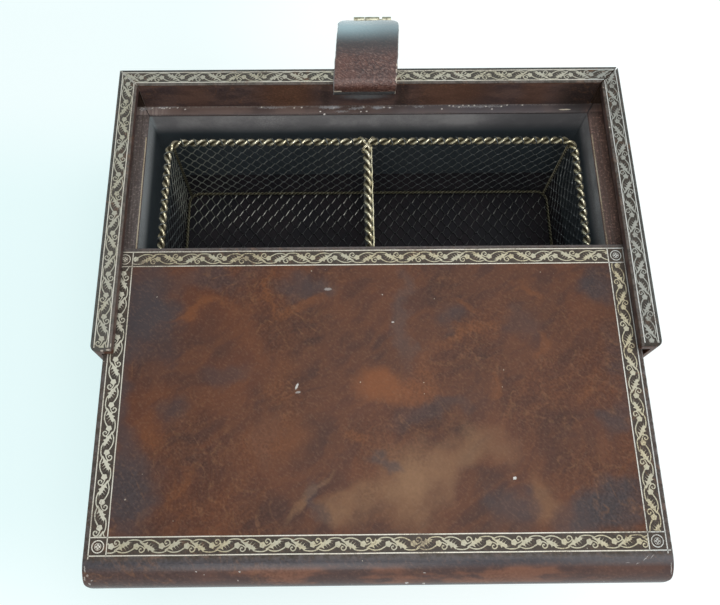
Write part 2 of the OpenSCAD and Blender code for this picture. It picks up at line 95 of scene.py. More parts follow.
# %% [markdown]
# The camera stands where the photographer stood: a little left of the middle, in front of the box
# and high above it, looking down steeply. Its place and its turns were worked out from the corners
# of the rim and the lid, so only three angles and one focal length are needed here.

# %% Camera
PHOTO_W, PHOTO_H = 720, 605
FOCAL_PX = 753.5
CENTRE_PX = (341.6, 310.9)
CAMERA_AT = Vector((-17.0, -169.3, 401.7)) * MM
LOOK_DOWN, LOOK_RIGHT, ROLL = 70.12, 0.90, 0.34


def place_camera():
    bpy.ops.object.camera_add(location=CAMERA_AT)
    camera = bpy.context.object
    camera.name = "photo_camera"
    turn = Matrix.Rotation(math.radians(-LOOK_RIGHT), 4, "Z")
    tilt = Matrix.Rotation(math.radians(90 - LOOK_DOWN), 4, "X")
    roll = Matrix.Rotation(math.radians(ROLL), 4, "Z")
    camera.rotation_euler = (turn @ tilt @ roll).to_euler()
    camera.data.sensor_width = 36
    camera.data.lens = FOCAL_PX * 36 / PHOTO_W
    camera.data.shift_x = (PHOTO_W / 2 - CENTRE_PX[0]) / PHOTO_W
    camera.data.shift_y = (CENTRE_PX[1] - PHOTO_H / 2) / PHOTO_W
    camera.data.clip_start = 0.01
    bpy.context.scene.camera = camera
    return camera


print("camera lens, mm:", round(place_camera().data.lens, 2))

# %% [markdown]
# Materials are built from nodes. Three small helpers keep that short: one adds a node and wires its
# inputs, one mixes two colours, and one turns a value into a soft mask between two limits.

# %% Helpers for nodes


def add(tree, kind, inputs=None, **settings):
    made = tree.nodes.new("ShaderNode" + kind)
    for key, value in settings.items():
        setattr(made, key, value)
    for key, value in (inputs or {}).items():
        if isinstance(value, bpy.types.NodeSocket):
            tree.links.new(value, made.inputs[key])
        else:
            made.inputs[key].default_value = value
    return made


def mix(tree, factor, first, second, blend="MIX"):
    made = tree.nodes.new("ShaderNodeMix")
    made.data_type = "RGBA"
    made.blend_type = blend
    for socket, value in ((made.inputs[0], factor), (made.inputs[6], first), (made.inputs[7], second)):
        if isinstance(value, bpy.types.NodeSocket):
            tree.links.new(value, socket)
        else:
            socket.default_value = (*value, 1) if isinstance(value, tuple) else value
    return made.outputs[2]


def soft(tree, value, low, high, to_low=0.0, to_high=1.0):
    limits = {"Value": value, "From Min": low, "From Max": high, "To Min": to_low, "To Max": to_high}
    return add(tree, "MapRange", limits, interpolation_type="SMOOTHSTEP").outputs["Result"]


def maths(tree, operation, first, second=0.0):
    return add(tree, "Math", {0: first, 1: second}, operation=operation).outputs[0]


def grain_noise(tree, vector, scale, detail=3.0, roughness=0.5, distortion=0.0):
    values = {"Vector": vector, "Scale": scale, "Detail": detail, "Roughness": roughness,
              "Distortion": distortion}
    return add(tree, "TexNoise", values).outputs["Fac"]


def places_in_mm(tree):
    place = add(tree, "TexCoord").outputs["Object"]
    return add(tree, "VectorMath", {0: place, "Scale": 1000.0}, operation="SCALE").outputs[0]


def turned(tree, vector, angle=0.0, scale=(1, 1, 1), location=(0, 0, 0)):
    values = {"Vector": vector, "Location": location, "Rotation": (0, 0, math.radians(angle)),
              "Scale": scale}
    return add(tree, "Mapping", values, vector_type="TEXTURE").outputs[0]


def start_material(name):
    material = bpy.data.materials.new(name)
    material.use_nodes = True
    tree = material.node_tree
    tree.nodes.clear()
    shader = tree.nodes.new("ShaderNodeBsdfPrincipled")
    output = tree.nodes.new("ShaderNodeOutputMaterial")
    tree.links.new(shader.outputs[0], output.inputs[0])
    return material, tree, shader


def bump(tree, shader, height, depth_mm):
    made = add(tree, "Bump", {"Height": height, "Strength": 1.0, "Distance": depth_mm * MM})
    tree.links.new(made.outputs[0], shader.inputs["Normal"])


def start_group(name, inputs, outputs):
    tree = bpy.data.node_groups.new(name, "ShaderNodeTree")
    for label, kind, value in inputs:
        socket = tree.interface.new_socket(name=label, in_out="INPUT", socket_type=kind)
        socket.default_value = value
    for label in outputs:
        tree.interface.new_socket(name=label, in_out="OUTPUT", socket_type="NodeSocketFloat")
    given = tree.nodes.new("NodeGroupInput").outputs
    result = tree.nodes.new("NodeGroupOutput").inputs
    return tree, given, result


def use_group(tree, group, **values):
    made = tree.nodes.new("ShaderNodeGroup")
    made.node_tree = group
    for key, value in values.items():
        if isinstance(value, bpy.types.NodeSocket):
            tree.links.new(value, made.inputs[key])
        else:
            made.inputs[key].default_value = value
    return made.outputs


VECTOR = "NodeSocketVector"
FLOAT = "NodeSocketFloat"

# %% [markdown]
# Four effects come back on many surfaces: the leather's grain, the cloudy mottling of the dye, dust
# specks, and thin rubbed scratches. Each is a node group that takes a place in millimetres and gives
# masks or a height. One soft elliptical spot is a group as well, to put a stain where the box has it.

# %% Shared effects


def leather_grain():
    tree, given, result = start_group("leather_grain", [("Place", VECTOR, (0, 0, 0)), ("Cell", FLOAT, 1.0)],
                                      ["Height", "Pores"])
    scale = maths(tree, "DIVIDE", 1.0, given["Cell"])
    warp = add(tree, "TexNoise", {"Vector": given["Place"], "Scale": 0.6, "Detail": 2.0}).outputs["Color"]
    bent = add(tree, "VectorMath", {0: given["Place"], 1: warp}, operation="ADD").outputs[0]
    cells = add(tree, "TexVoronoi", {"Vector": bent, "Scale": scale}, feature="SMOOTH_F1").outputs["Distance"]
    fine = grain_noise(tree, given["Place"], 2.4, 4.0, 0.6)
    broad = grain_noise(tree, given["Place"], 0.09, 3.0, 0.5)
    patchy = soft(tree, grain_noise(tree, given["Place"], 0.03, 2.0), 0.42, 0.62, 0.3, 1.0)
    pebbles = maths(tree, "MULTIPLY", soft(tree, cells, 0.75, 0.15), patchy)
    tree.links.new(pebbles, result["Pores"])
    height = maths(tree, "ADD", maths(tree, "MULTIPLY", pebbles, 0.4), maths(tree, "MULTIPLY", fine, 0.2))
    height = maths(tree, "ADD", height, maths(tree, "MULTIPLY", broad, 1.1))
    tree.links.new(height, result["Height"])
    return tree


def dye_mottle():
    tree, given, result = start_group("dye_mottle", [("Place", VECTOR, (0, 0, 0)), ("Size", FLOAT, 30.0)],
                                      ["Cloud", "Flame", "Streak"])
    size = maths(tree, "DIVIDE", 1.0, given["Size"])
    drift = add(tree, "TexNoise", {"Vector": given["Place"], "Scale": size, "Detail": 2.0}).outputs["Color"]
    push = add(tree, "VectorMath", {0: drift, "Scale": 26.0}, operation="SCALE").outputs[0]
    bent = add(tree, "VectorMath", {0: given["Place"], 1: push}, operation="ADD").outputs[0]
    tree.links.new(soft(tree, grain_noise(tree, bent, size, 5.0, 0.5), 0.32, 0.68), result["Cloud"])
    slanted = turned(tree, bent, 38, (2.6, 1, 1))
    ridge = grain_noise(tree, slanted, maths(tree, "MULTIPLY", size, 1.9), 5.0, 0.6)
    ridge = maths(tree, "ABSOLUTE", maths(tree, "SUBTRACT", ridge, 0.5))
    tree.links.new(soft(tree, ridge, 0.10, 0.0), result["Flame"])
    hairs = turned(tree, bent, 62, (9, 0.9, 1))
    tree.links.new(soft(tree, grain_noise(tree, hairs, 0.7, 3.0, 0.6), 0.45, 0.7), result["Streak"])
    return tree


def fine_veins():
    """Thin crooked wrinkles, in some patches only."""
    tree, given, result = start_group("fine_veins", [("Place", VECTOR, (0, 0, 0))], ["Lines"])
    drift = add(tree, "TexNoise", {"Vector": given["Place"], "Scale": 0.04, "Detail": 1.0}).outputs["Color"]
    push = add(tree, "VectorMath", {0: drift, "Scale": 20.0}, operation="SCALE").outputs[0]
    bent = add(tree, "VectorMath", {0: given["Place"], 1: push}, operation="ADD").outputs[0]
    ridge = grain_noise(tree, turned(tree, bent, -52, (2.0, 1, 1)), 0.085, 1.6, 0.5)
    thin = soft(tree, maths(tree, "ABSOLUTE", maths(tree, "SUBTRACT", ridge, 0.5)), 0.030, 0.0)
    broken = soft(tree, grain_noise(tree, given["Place"], 0.35, 4.0, 0.65), 0.36, 0.66)
    where = soft(tree, grain_noise(tree, given["Place"], 0.030, 2.0), 0.44, 0.60)
    thin = maths(tree, "MULTIPLY", thin, broken)
    tree.links.new(maths(tree, "MULTIPLY", thin, where), result["Lines"])
    return tree


def dust_specks():
    tree, given, result = start_group("dust_specks", [("Place", VECTOR, (0, 0, 0)), ("Spacing", FLOAT, 9.0)],
                                      ["Specks"])
    scale = maths(tree, "DIVIDE", 1.0, given["Spacing"])
    wobble = add(tree, "TexNoise", {"Vector": given["Place"], "Scale": 2.5}).outputs["Color"]
    push = add(tree, "VectorMath", {0: wobble, "Scale": 0.5}, operation="SCALE").outputs[0]
    bent = add(tree, "VectorMath", {0: given["Place"], 1: push}, operation="ADD").outputs[0]
    cells = add(tree, "TexVoronoi", {"Vector": bent, "Scale": scale}, feature="F1")
    chance = add(tree, "SeparateColor", {0: cells.outputs["Color"]}).outputs[0]
    reach = maths(tree, "MULTIPLY", soft(tree, chance, 0.55, 1.0), 0.045)
    gap = maths(tree, "SUBTRACT", cells.outputs["Distance"], reach)
    tree.links.new(soft(tree, gap, 0.012, -0.012), result["Specks"])
    return tree


def rubbed_lines():
    tree, given, result = start_group("rubbed_lines", [("Place", VECTOR, (0, 0, 0)), ("Turn", FLOAT, 60.0)],
                                      ["Lines"])
    turn = add(tree, "CombineXYZ", {"Z": maths(tree, "RADIANS", given["Turn"])}).outputs[0]
    along = add(tree, "Mapping", {"Vector": given["Place"], "Rotation": turn, "Scale": (14, 1, 1)},
                vector_type="TEXTURE").outputs[0]
    ridge = grain_noise(tree, along, 0.55, 2.0, 0.5, 0.6)
    thin = soft(tree, maths(tree, "ABSOLUTE", maths(tree, "SUBTRACT", ridge, 0.5)), 0.014, 0.0)
    where = soft(tree, grain_noise(tree, given["Place"], 0.06, 2.0), 0.52, 0.66)
    tree.links.new(maths(tree, "MULTIPLY", thin, where), result["Lines"])
    return tree


def soft_spot():
    inputs = [("Place", VECTOR, (0, 0, 0)), ("Centre", VECTOR, (0, 0, 0)), ("Size", VECTOR, (1, 1, 1)),
              ("Turn", FLOAT, 0.0), ("Edge", FLOAT, 0.9)]
    tree, given, result = start_group("soft_spot", inputs, ["Mask"])
    turn = add(tree, "CombineXYZ", {"Z": maths(tree, "RADIANS", given["Turn"])}).outputs[0]
    local = add(tree, "Mapping", {"Vector": given["Place"], "Location": given["Centre"], "Rotation": turn,
                                  "Scale": given["Size"]}, vector_type="TEXTURE").outputs[0]
    distance = add(tree, "VectorMath", {0: local}, operation="LENGTH").outputs["Value"]
    inner = maths(tree, "SUBTRACT", 1.15, given["Edge"])
    tree.links.new(soft(tree, distance, 1.15, inner), result["Mask"])
    return tree


GRAIN, MOTTLE, VEINS, DUST = leather_grain(), dye_mottle(), fine_veins(), dust_specks()
RUBBED, SPOT = rubbed_lines(), soft_spot()
print("node groups:", [g.name for g in bpy.data.node_groups])

# %% [markdown]
# The calf is dyed unevenly: dark purple brown in clouds, orange brown where the dye ran thin, with
# flame-like streaks. Pure noise gives the right kind of pattern but not this lid, so soft spots put
# the main dark and light places where they are, and the noise breaks up their edges.

# %% Calf for the box and the lid
CALF_DARK = (0.078, 0.039, 0.030)
CALF_MID = (0.122, 0.048, 0.028)
CALF_ORANGE = (0.200, 0.076, 0.033)
CALF_PURPLE = (0.064, 0.057, 0.062)
CALF_TAN = (0.265, 0.146, 0.078)
CREAM = (0.62, 0.55, 0.44)


def add_spots(tree, place, colour, spots, tone, z=82, edge=0.9):
    """Each spot is centre x and y, half length, half width and turn, in mm and degrees, and a strength."""
    for x, y, long, wide, turn, strength in spots:
        mask = use_group(tree, SPOT, Place=place, Centre=(x, y, z), Size=(long, wide, 60), Turn=turn, Edge=edge)[0]
        colour = mix(tree, maths(tree, "MULTIPLY", mask, strength), colour, tone)
    return colour


def drifted(tree, place, scale, amount):
    """Places pushed about by a noise, so that the outline of a spot isn't a clean ellipse."""
    drift = add(tree, "TexNoise", {"Vector": place, "Scale": scale, "Detail": 5.0}).outputs["Color"]
    centred = add(tree, "VectorMath", {0: drift, 1: (0.5, 0.5, 0.5)}, operation="SUBTRACT").outputs[0]
    push = add(tree, "VectorMath", {0: centred, "Scale": amount}, operation="SCALE").outputs[0]
    return add(tree, "VectorMath", {0: place, 1: push}, operation="ADD").outputs[0]


def outside_of(tree, cross, low, high, edge=0.4):
    """1 outside a rectangle given in mm, 0 inside it, soft over the width of the edge."""
    mask = 0.0
    for axis in (X, Y):
        centre, half = (low[axis] + high[axis]) / 2, (high[axis] - low[axis]) / 2
        away = maths(tree, "ABSOLUTE", maths(tree, "SUBTRACT", cross[axis], centre))
        mask = maths(tree, "MAXIMUM", mask, soft(tree, away, half - edge, half))
    return mask


def times(tree, *factors):
    product = factors[0]
    for factor in factors[1:]:
        product = maths(tree, "MULTIPLY", product, factor)
    return product


DARK_SPOTS = [(-104, -52, 20, 32, 0, 0.85), (-72, -36, 26, 9, 0, 0.5), (-106, -132, 17, 26, 8, 0.85), (-113, -90, 9, 40, 0, 0.6),
              (-33, -42, 12, 9, -20, 0.55), (-66, -82, 12, 8, 0, 0.35), (103, -43, 14, 13, 0, 0.7),
              (33, -58, 9, 6, 0, 0.45), (100, -106, 8, 8, 0, 0.6), (54, -140, 11, 13, 0, 0.6),
              (92, -141, 24, 11, 8, 0.9), (106, -84, 8, 26, 0, 0.4), (2, -122, 7, 5, 0, 0.6),
              (-26, -137, 5, 13, 20, 0.45), (24, -100, 22, 5, 12, 0.45), (-88, -98, 9, 8, 0, 0.4),
              (66, -62, 12, 9, 20, 0.3), (-48, -112, 6, 12, -20, 0.3)]
ORANGE_SPOTS = [(-80, -52, 17, 3.2, 23, 0.7), (-46, -45, 3, 13, 6, 0.6), (-35, -52, 14, 3.5, 3, 0.6),
                (-41, -86, 10, 15, 40, 0.45), (-43, -112, 20, 14, 25, 0.5), (-84, -129, 4, 10, -30, 0.45),
                (42, -64, 20, 3.6, 11, 0.75), (42, -54, 9, 3, -26, 0.5), (51, -90, 3, 8, -30, 0.6),
                (69, -43, 9, 3, -38, 0.6), (74, -70, 3, 8, 5, 0.5), (90, -94, 3, 9, -40, 0.5),
                (-5, -108, 8, 6, 0, 0.7), (22, -84, 4, 12, 15, 0.5), (81, -133, 4, 2, 0, 0.5),
                (-96, -108, 8, 6, 0, 0.45), (66, -127, 6, 8, 20, 0.3)]
TAN_SPOTS = [(12, -131, 19, 22, -20, 0.9), (-18, -142, 9, 7, 0, 0.6), (-8, -138, 9, 12, 0, 0.5),
             (36, -118, 24, 12, 20, 0.6), (-30, -136, 3, 16, -38, 0.5), (67, -137, 9, 11, 0, 0.45)]
BRIGHT_PATCH = [(1, -88, 12, 9, -8, 0.95), (14, -92, 13, 6, 10, 0.7)]
GREY_SMEARS = [(12, -58, 5, 30, 3, 0.38), (-22, -44, 6, 9, -25, 0.35)]
CHIPS = [(56.4, -128.7, 0.75, 0.6, 30, 1.0), (-35.0, -88.6, 0.5, 1.5, -20, 0.9), (-34.4, -91.2, 1.2, 0.5, 10, 0.5),
         (7.8, -59.4, 0.6, 0.3, 0, 0.8), (-21.3, -43.3, 1.8, 0.7, 0, 0.35), (3.4, -46.2, 0.3, 0.3, 0, 0.6)]
NOSE_CHIPS = [(-74.8, -164.3, 0.3, 0.25, 0, 0.8), (-71.5, -165.4, 0.25, 0.2, 0, 0.7),
              (-57.2, -164.5, 0.45, 0.25, 0, 0.8), (-58.1, -167.8, 0.2, 0.3, 0, 0.8),
              (-119.4, -163, 0.3, 1.2, 10, 0.7), (-118.3, -165.5, 0.4, 0.5, 0, 0.7),
              (-119.6, -166.5, 0.3, 0.8, 0, 0.8), (-116.9, -167.2, 0.4, 0.25, 20, 0.6),
              (-118.0, -168.6, 0.5, 0.3, 0, 0.7), (106.5, -161, 1.6, 0.14, 40, 0.7),
              (109.0, -160.4, 1.1, 0.12, 52, 0.6), (103.0, -163.0, 0.8, 0.12, 20, 0.6),
              (99.0, -162.6, 1.0, 0.1, 5, 0.5), (116.6, -165.0, 0.2, 2.4, 4, 0.7),
              (17, -165.6, 0.5, 0.25, 10, 0.7), (10, -169.4, 0.8, 0.3, 0, 0.8), (17, -169.6, 0.6, 0.3, 0, 0.8)]
BAND_GROUND = (0.072, 0.063, 0.053)


def lid_dye(tree, place, cross, colour):
    """Dark, orange and tan areas of the lid, its darker ground under the gold, its chips, and painted light on its
    edges and nose.
    """
    bent = drifted(tree, place, 0.06, 30.0)
    colour = add_spots(tree, bent, colour, TAN_SPOTS, CALF_TAN)
    colour = add_spots(tree, bent, colour, DARK_SPOTS, CALF_PURPLE)
    colour = add_spots(tree, bent, colour, ORANGE_SPOTS, CALF_ORANGE)
    colour = add_spots(tree, drifted(tree, place, 0.09, 9.0), colour, BRIGHT_PATCH, (0.225, 0.082, 0.034), 82, 0.75)
    colour = add_spots(tree, bent, colour, GREY_SMEARS, (0.095, 0.080, 0.078))
    low, high = (line_low + Vector((BAND, BAND))) / MM, (line_high - Vector((BAND, BAND))) / MM
    top = soft(tree, cross[Z], lid_high.z / MM - 1.0, lid_high.z / MM - 0.2)
    band = times(tree, outside_of(tree, cross, low, high), top)
    colour = mix(tree, times(tree, band, 0.92), colour, BAND_GROUND)
    margin = times(tree, outside_of(tree, cross, line_low / MM, line_high / MM), top)
    worn = soft(tree, grain_noise(tree, place, 0.35, 4.0, 0.7), 0.4, 0.62)
    colour = mix(tree, times(tree, margin, worn, 0.55), colour, (0.16, 0.14, 0.14))
    # Painted highlights: a greyer strip along the rounded back edge, and a pale one along the right edge, patchy with
    # the wear noise.
    near_top = soft(tree, cross[Z], lid_high.z / MM - 1.2, lid_high.z / MM - 0.6)
    back_edge_sheen = soft(tree, cross[Y], lid_high.y / MM - 1.6, lid_high.y / MM - 0.8)
    right_edge_sheen = soft(tree, cross[X], lid_high.x / MM - 0.9, lid_high.x / MM - 0.35)
    colour = mix(tree, times(tree, back_edge_sheen, near_top, 0.6), colour, (0.150, 0.132, 0.130))
    colour = mix(tree, times(tree, right_edge_sheen, near_top, worn, 0.7), colour, (0.42, 0.41, 0.41))
    jagged = drifted(tree, place, 1.4, 1.1)
    colour = add_spots(tree, jagged, colour, CHIPS, (0.72, 0.70, 0.66), 82, 0.35)
    # The nose is patchy orange brown low down; the grey on its top is a painted reflection, lighter towards the right
    # end, and it is darker along its lowest part.
    low_nose = soft(tree, cross[Y], nose_high.y / MM + 0.5, nose_high.y / MM - 2.0)
    patch = soft(tree, grain_noise(tree, turned(tree, place, 0, (3, 1, 1)), 0.09, 3.0, 0.6), 0.42, 0.55)
    patch = times(tree, patch, soft(tree, cross[X], -80, -50), soft(tree, cross[X], 100, 55, 0.25, 1.0))
    lower = mix(tree, patch, (0.084, 0.056, 0.053), (0.222, 0.106, 0.070))
    right_end = soft(tree, cross[X], 50, 105)
    upper = mix(tree, right_end, (0.064, 0.060, 0.070), (0.135, 0.126, 0.134))
    nose_tone = mix(tree, soft(tree, cross[Z], 81.4, 82.4), lower, upper)
    nose_tone = mix(tree, soft(tree, cross[Z], 77.4, 75.8), nose_tone, (0.050, 0.046, 0.050))
    colour = mix(tree, times(tree, low_nose, 0.85), colour, nose_tone)
    return add_spots(tree, jagged, colour, NOSE_CHIPS, (0.62, 0.60, 0.56), 78, 0.4)


# The olive grey grounds of the rim's top are a painted sheen.
RIM_GROUND, RIM_GROUND_LEFT = (0.050, 0.050, 0.043), (0.088, 0.088, 0.078)
INNER_STRIP, OUTER_LINE = 1.3, 0.9
low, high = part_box("strap_root")
strap_x = (low.x + high.x) / 2 / MM


def box_dye(tree, place, cross, colour):
    """Olive ground as painted sheen and worn edges on top of the rim, and the brown inner faces below it, with painted
    shade.
    """
    # Painted sheen: the rim's top gets an olive grey ground, paler to the left and along the back.
    top = soft(tree, cross[Z], rim_top / MM - 0.9, rim_top / MM - 0.4)
    paler_sheen = maths(tree, "MAXIMUM", soft(tree, cross[X], 40, -110), soft(tree, cross[Y], 62, 67, 0.0, 0.9))
    ground = mix(tree, paler_sheen, RIM_GROUND, RIM_GROUND_LEFT)
    colour = mix(tree, times(tree, top, 0.92), colour, ground)
    inner = Vector((rim_x, rim_y)) / MM
    worn = soft(tree, grain_noise(tree, place, 0.3, 4.0, 0.7), 0.36, 0.58)
    inner_low, inner_high = (-inner.x, -300), (inner.x, inner.y)
    strip = maths(tree, "SUBTRACT", 1.0, outside_of(tree, cross, (inner_low[0] - INNER_STRIP, -300),
                                                    (inner_high[0] + INNER_STRIP, inner.y + INNER_STRIP), 0.3))
    colour = mix(tree, times(tree, top, strip, worn, 0.75), colour, (0.17, 0.145, 0.13))
    outer = Vector((outside_x - RIM_LINE, outside_y - RIM_LINE)) / MM
    edge = outside_of(tree, cross, (-outer.x, -300), outer, 0.3)
    line = outside_of(tree, cross, (-outer.x - OUTER_LINE, -300), outer + Vector((OUTER_LINE, OUTER_LINE)), 0.4)
    side = soft(tree, cross[Z], rim_top / MM - 3.5, rim_top / MM - 1.0)
    colour = mix(tree, times(tree, edge, side, 0.7), colour, (0.058, 0.062, 0.058))
    colour = mix(tree, times(tree, line, top, worn, 0.5), colour, (0.15, 0.155, 0.145))
    below = soft(tree, cross[Z], rim_top / MM - 0.6, rim_top / MM - 1.6)
    inside = maths(tree, "SUBTRACT", 1.0, outside_of(tree, cross, (-inner.x - 1.0, -72), (inner.x + 1.0, inner.y + 0.6), 0.4))
    face = times(tree, below, inside)
    rust = soft(tree, grain_noise(tree, turned(tree, place, 0, (2.5, 1, 1)), 0.11, 3.0, 0.6), 0.42, 0.60)
    face_tone = mix(tree, rust, (0.076, 0.056, 0.057), (0.150, 0.098, 0.086))
    colour = mix(tree, times(tree, face, 0.85), colour, face_tone)
    # Lighter orange patches on the inner faces; the shades are painted shade in the right corner and painted shadow
    # beside the strap.
    patches = [(-42, 64, 18, 20, 0, 0.75), (42, 64, 24, 20, 0, 0.6), (-88, 64, 10, 20, 0, 0.3), (84, 64, 9, 20, 0, 0.4)]
    lit = add_spots(tree, drifted(tree, place, 0.1, 10.0), colour, patches, (0.16, 0.075, 0.042), 82)
    shades = [(110, 64, 19, 20, 0, 0.85), (17, 64, 4, 20, 0, 0.6), (-22, 64, 3, 20, 0, 0.5)]
    lit = add_spots(tree, place, lit, shades, (0.035, 0.026, 0.024), 82)
    colour = mix(tree, face, colour, lit)
    below_strap = use_group(tree, SPOT, Place=drifted(tree, place, 0.25, 3.0), Centre=(strap_x, 64, 77.6),
                            Size=(14, 20, 3.0))["Mask"]
    colour = mix(tree, times(tree, below_strap, face, 0.75), colour, (0.185, 0.205, 0.215))
    gap = (rim_x + outside_x) / 2 / MM, (rim_y + outside_y) / 2 / MM
    colour = add_spots(tree, place, colour, [(*gap, 7.5, 0.32, 45, 1.0)], (0.006, 0.005, 0.005), 88, 0.3)
    mitre = [(-gap[0], gap[1], 7.0, 0.45, -45, 0.9)]
    colour = add_spots(tree, place, colour, mitre, (0.62, 0.62, 0.56), 88, 0.3)
    scuffs = [(-117.0, -72.9, 0.9, 0.35, 0, 0.8), (-119.6, -73.2, 0.7, 0.3, 0, 0.7), (-116.0, -70.8, 0.3, 0.9, 0, 0.7),
              (116.0, 60.9, 0.22, 0.3, 0, 0.9), (116.0, 37.8, 0.28, 0.36, 0, 1.0), (116.8, -69.0, 0.3, 0.3, 0, 0.6)]
    return add_spots(tree, drifted(tree, place, 1.0, 0.3), colour, scuffs, (0.60, 0.54, 0.46), 88, 0.4)


def calf(name, dyed, polished):
    """The polished part is glossier: it lies in front of a place along Y, in mm."""
    material, tree, shader = start_material(name)
    place = places_in_mm(tree)
    cross = add(tree, "SeparateXYZ", {0: place}).outputs
    dye = use_group(tree, MOTTLE, Place=place, Size=34.0)
    colour = mix(tree, dye["Cloud"], CALF_DARK, CALF_MID)
    colour = mix(tree, times(tree, dye["Flame"], 0.30), colour, CALF_ORANGE)
    colour = mix(tree, times(tree, dye["Streak"], 0.10), colour, (0.22, 0.10, 0.05))
    colour = dyed(tree, place, cross, colour)
    veins = use_group(tree, VEINS, Place=place)["Lines"]
    colour = mix(tree, times(tree, veins, 0.42), colour, (0.27, 0.135, 0.070))
    grain = use_group(tree, GRAIN, Place=place, Cell=1.0)
    colour = mix(tree, times(tree, grain["Pores"], 0.32), colour, (0.02, 0.012, 0.01))
    creased = soft(tree, grain_noise(tree, turned(tree, place, -40, (1.8, 1, 1)), 1.1, 3.0, 0.6), 0.5, 0.7)
    colour = mix(tree, times(tree, creased, 0.16), colour, (0.30, 0.17, 0.11))
    lines = use_group(tree, RUBBED, Place=place, Turn=62.0)["Lines"]
    colour = mix(tree, times(tree, lines, 0.08), colour, (0.25, 0.17, 0.12))
    specks = use_group(tree, DUST, Place=place, Spacing=7.0)["Specks"]
    colour = mix(tree, times(tree, specks, 0.6), colour, CREAM)
    tree.links.new(colour, shader.inputs["Base Color"])
    tree.links.new(soft(tree, dye["Cloud"], 0.0, 1.0, 0.40, 0.33), shader.inputs["Roughness"])
    shader.inputs["Specular IOR Level"].default_value = 0.14
    tree.links.new(soft(tree, cross[Y], polished, polished - 1.5, 0.0, 0.32), shader.inputs["Coat Weight"])
    shader.inputs["Coat Roughness"].default_value = 0.2
    bump(tree, shader, grain["Height"], 0.16)
    return material


BOX_CALF = calf("box_calf", box_dye, -300)
LID_CALF = calf("lid_calf", lid_dye, nose_high.y / MM + 0.5)
print("calf materials:", BOX_CALF.name, LID_CALF.name)

# %% [markdown]
# Old gold leaf is pale and greyish, thinner in places so that the brown leather shows through it. It
# is a metal with a rough surface, and the worn places are plain leather, all from the same noise.

# %% Gold, brass and wire


# Painted reflection: the grey tone that the rim's scroll takes on at the right.
GREY_SHEEN_GOLD = (0.315, 0.320, 0.285)


def gold_leaf(name, pale, warm, bare, metallic, side=None):
    """Where a side is given, as two places along X in mm and a tone, the leaf changes to it there."""
    material, tree, shader = start_material(name)
    place = places_in_mm(tree)
    patchy = grain_noise(tree, place, 0.05, 3.0, 0.6)
    crumbs = grain_noise(tree, place, 1.5, 4.0, 0.7)
    worn = maths(tree, "ADD", times(tree, patchy, 0.8), times(tree, crumbs, 0.65))
    worn = soft(tree, worn, 0.74, 0.90)
    gold = mix(tree, soft(tree, patchy, 0.35, 0.65), pale, warm)
    gold = mix(tree, times(tree, soft(tree, crumbs, 0.4, 0.7), 0.5), gold, tuple(c * 0.6 for c in warm))
    if side:
        across = add(tree, "SeparateXYZ", {0: place}).outputs[X]
        gold = mix(tree, soft(tree, across, side[0], side[1]), gold, side[2])
    tree.links.new(mix(tree, times(tree, worn, 0.8), gold, bare), shader.inputs["Base Color"])
    tree.links.new(soft(tree, worn, 0.0, 1.0, metallic, 0.05), shader.inputs["Metallic"])
    tree.links.new(soft(tree, crumbs, 0.3, 0.7, 0.40, 0.55), shader.inputs["Roughness"])
    bump(tree, shader, crumbs, 0.03)
    return material


def wire_brass(name, bright, warm, tarnish):
    """Bright on the crowns of the strands, olive dark in the valleys between them."""
    material, tree, shader = start_material(name)
    place = places_in_mm(tree)
    crown = add(tree, "Attribute", attribute_name="crown").outputs["Fac"]
    spots = grain_noise(tree, place, 0.9, 4.0, 0.65)
    patch = grain_noise(tree, place, 0.07, 2.0, 0.5)
    shine = mix(tree, soft(tree, patch, 0.35, 0.65), bright, warm)
    dull = mix(tree, spots, (0.060, 0.054, 0.033), (0.15, 0.13, 0.08))
    clean = times(tree, soft(tree, crown, 0.5, 0.92), soft(tree, spots, tarnish, tarnish + 0.3, 0.35, 1.0))
    tree.links.new(mix(tree, clean, dull, shine), shader.inputs["Base Color"])
    shader.inputs["Metallic"].default_value = 0.8
    tree.links.new(soft(tree, clean, 0.0, 1.0, 0.6, 0.21), shader.inputs["Roughness"])
    bump(tree, shader, spots, 0.05)
    return material


def netting_wire():
    """Dark bronze; painted shade on the floor net, and a painted highlight on the rising half of each cell at the back
    left.
    """
    material, tree, shader = start_material("netting_wire")
    place = places_in_mm(tree)
    cross = add(tree, "SeparateXYZ", {0: place}).outputs
    rise = add(tree, "Attribute", attribute_name="rise").outputs["Fac"]
    spots = grain_noise(tree, place, 0.5, 4.0, 0.7)
    dusty = use_group(tree, SPOT, Place=place, Centre=(-100, 48, 30), Size=(34, 34, 60))["Mask"]
    metal = mix(tree, soft(tree, spots, 0.35, 0.7), (0.090, 0.102, 0.106), (0.235, 0.262, 0.265))
    # Painted shade: the net near the floor is painted nearly black.
    low = soft(tree, cross[Z], 16.0, 13.0)
    metal = mix(tree, times(tree, low, 0.8), metal, (0.012, 0.011, 0.011))
    # Painted highlight on the rising half of each cell, towards the back, full on the left and a quarter on the right.
    back = soft(tree, cross[Y], 20.0, 32.0)
    left = soft(tree, cross[X], 6.0, -6.0, 0.25, 1.0)
    glint = times(tree, rise, soft(tree, spots, 0.32, 0.5), back, left)
    metal = mix(tree, times(tree, glint, 0.9), metal, (0.62, 0.63, 0.56))
    colour = mix(tree, times(tree, dusty, 0.6), metal, (0.20, 0.22, 0.17))
    tree.links.new(colour, shader.inputs["Base Color"])
    tree.links.new(soft(tree, dusty, 0.0, 1.0, 0.7, 0.25), shader.inputs["Metallic"])
    tree.links.new(soft(tree, glint, 0.0, 1.0, 0.42, 0.3), shader.inputs["Roughness"])
    bump(tree, shader, spots, 0.03)
    return material


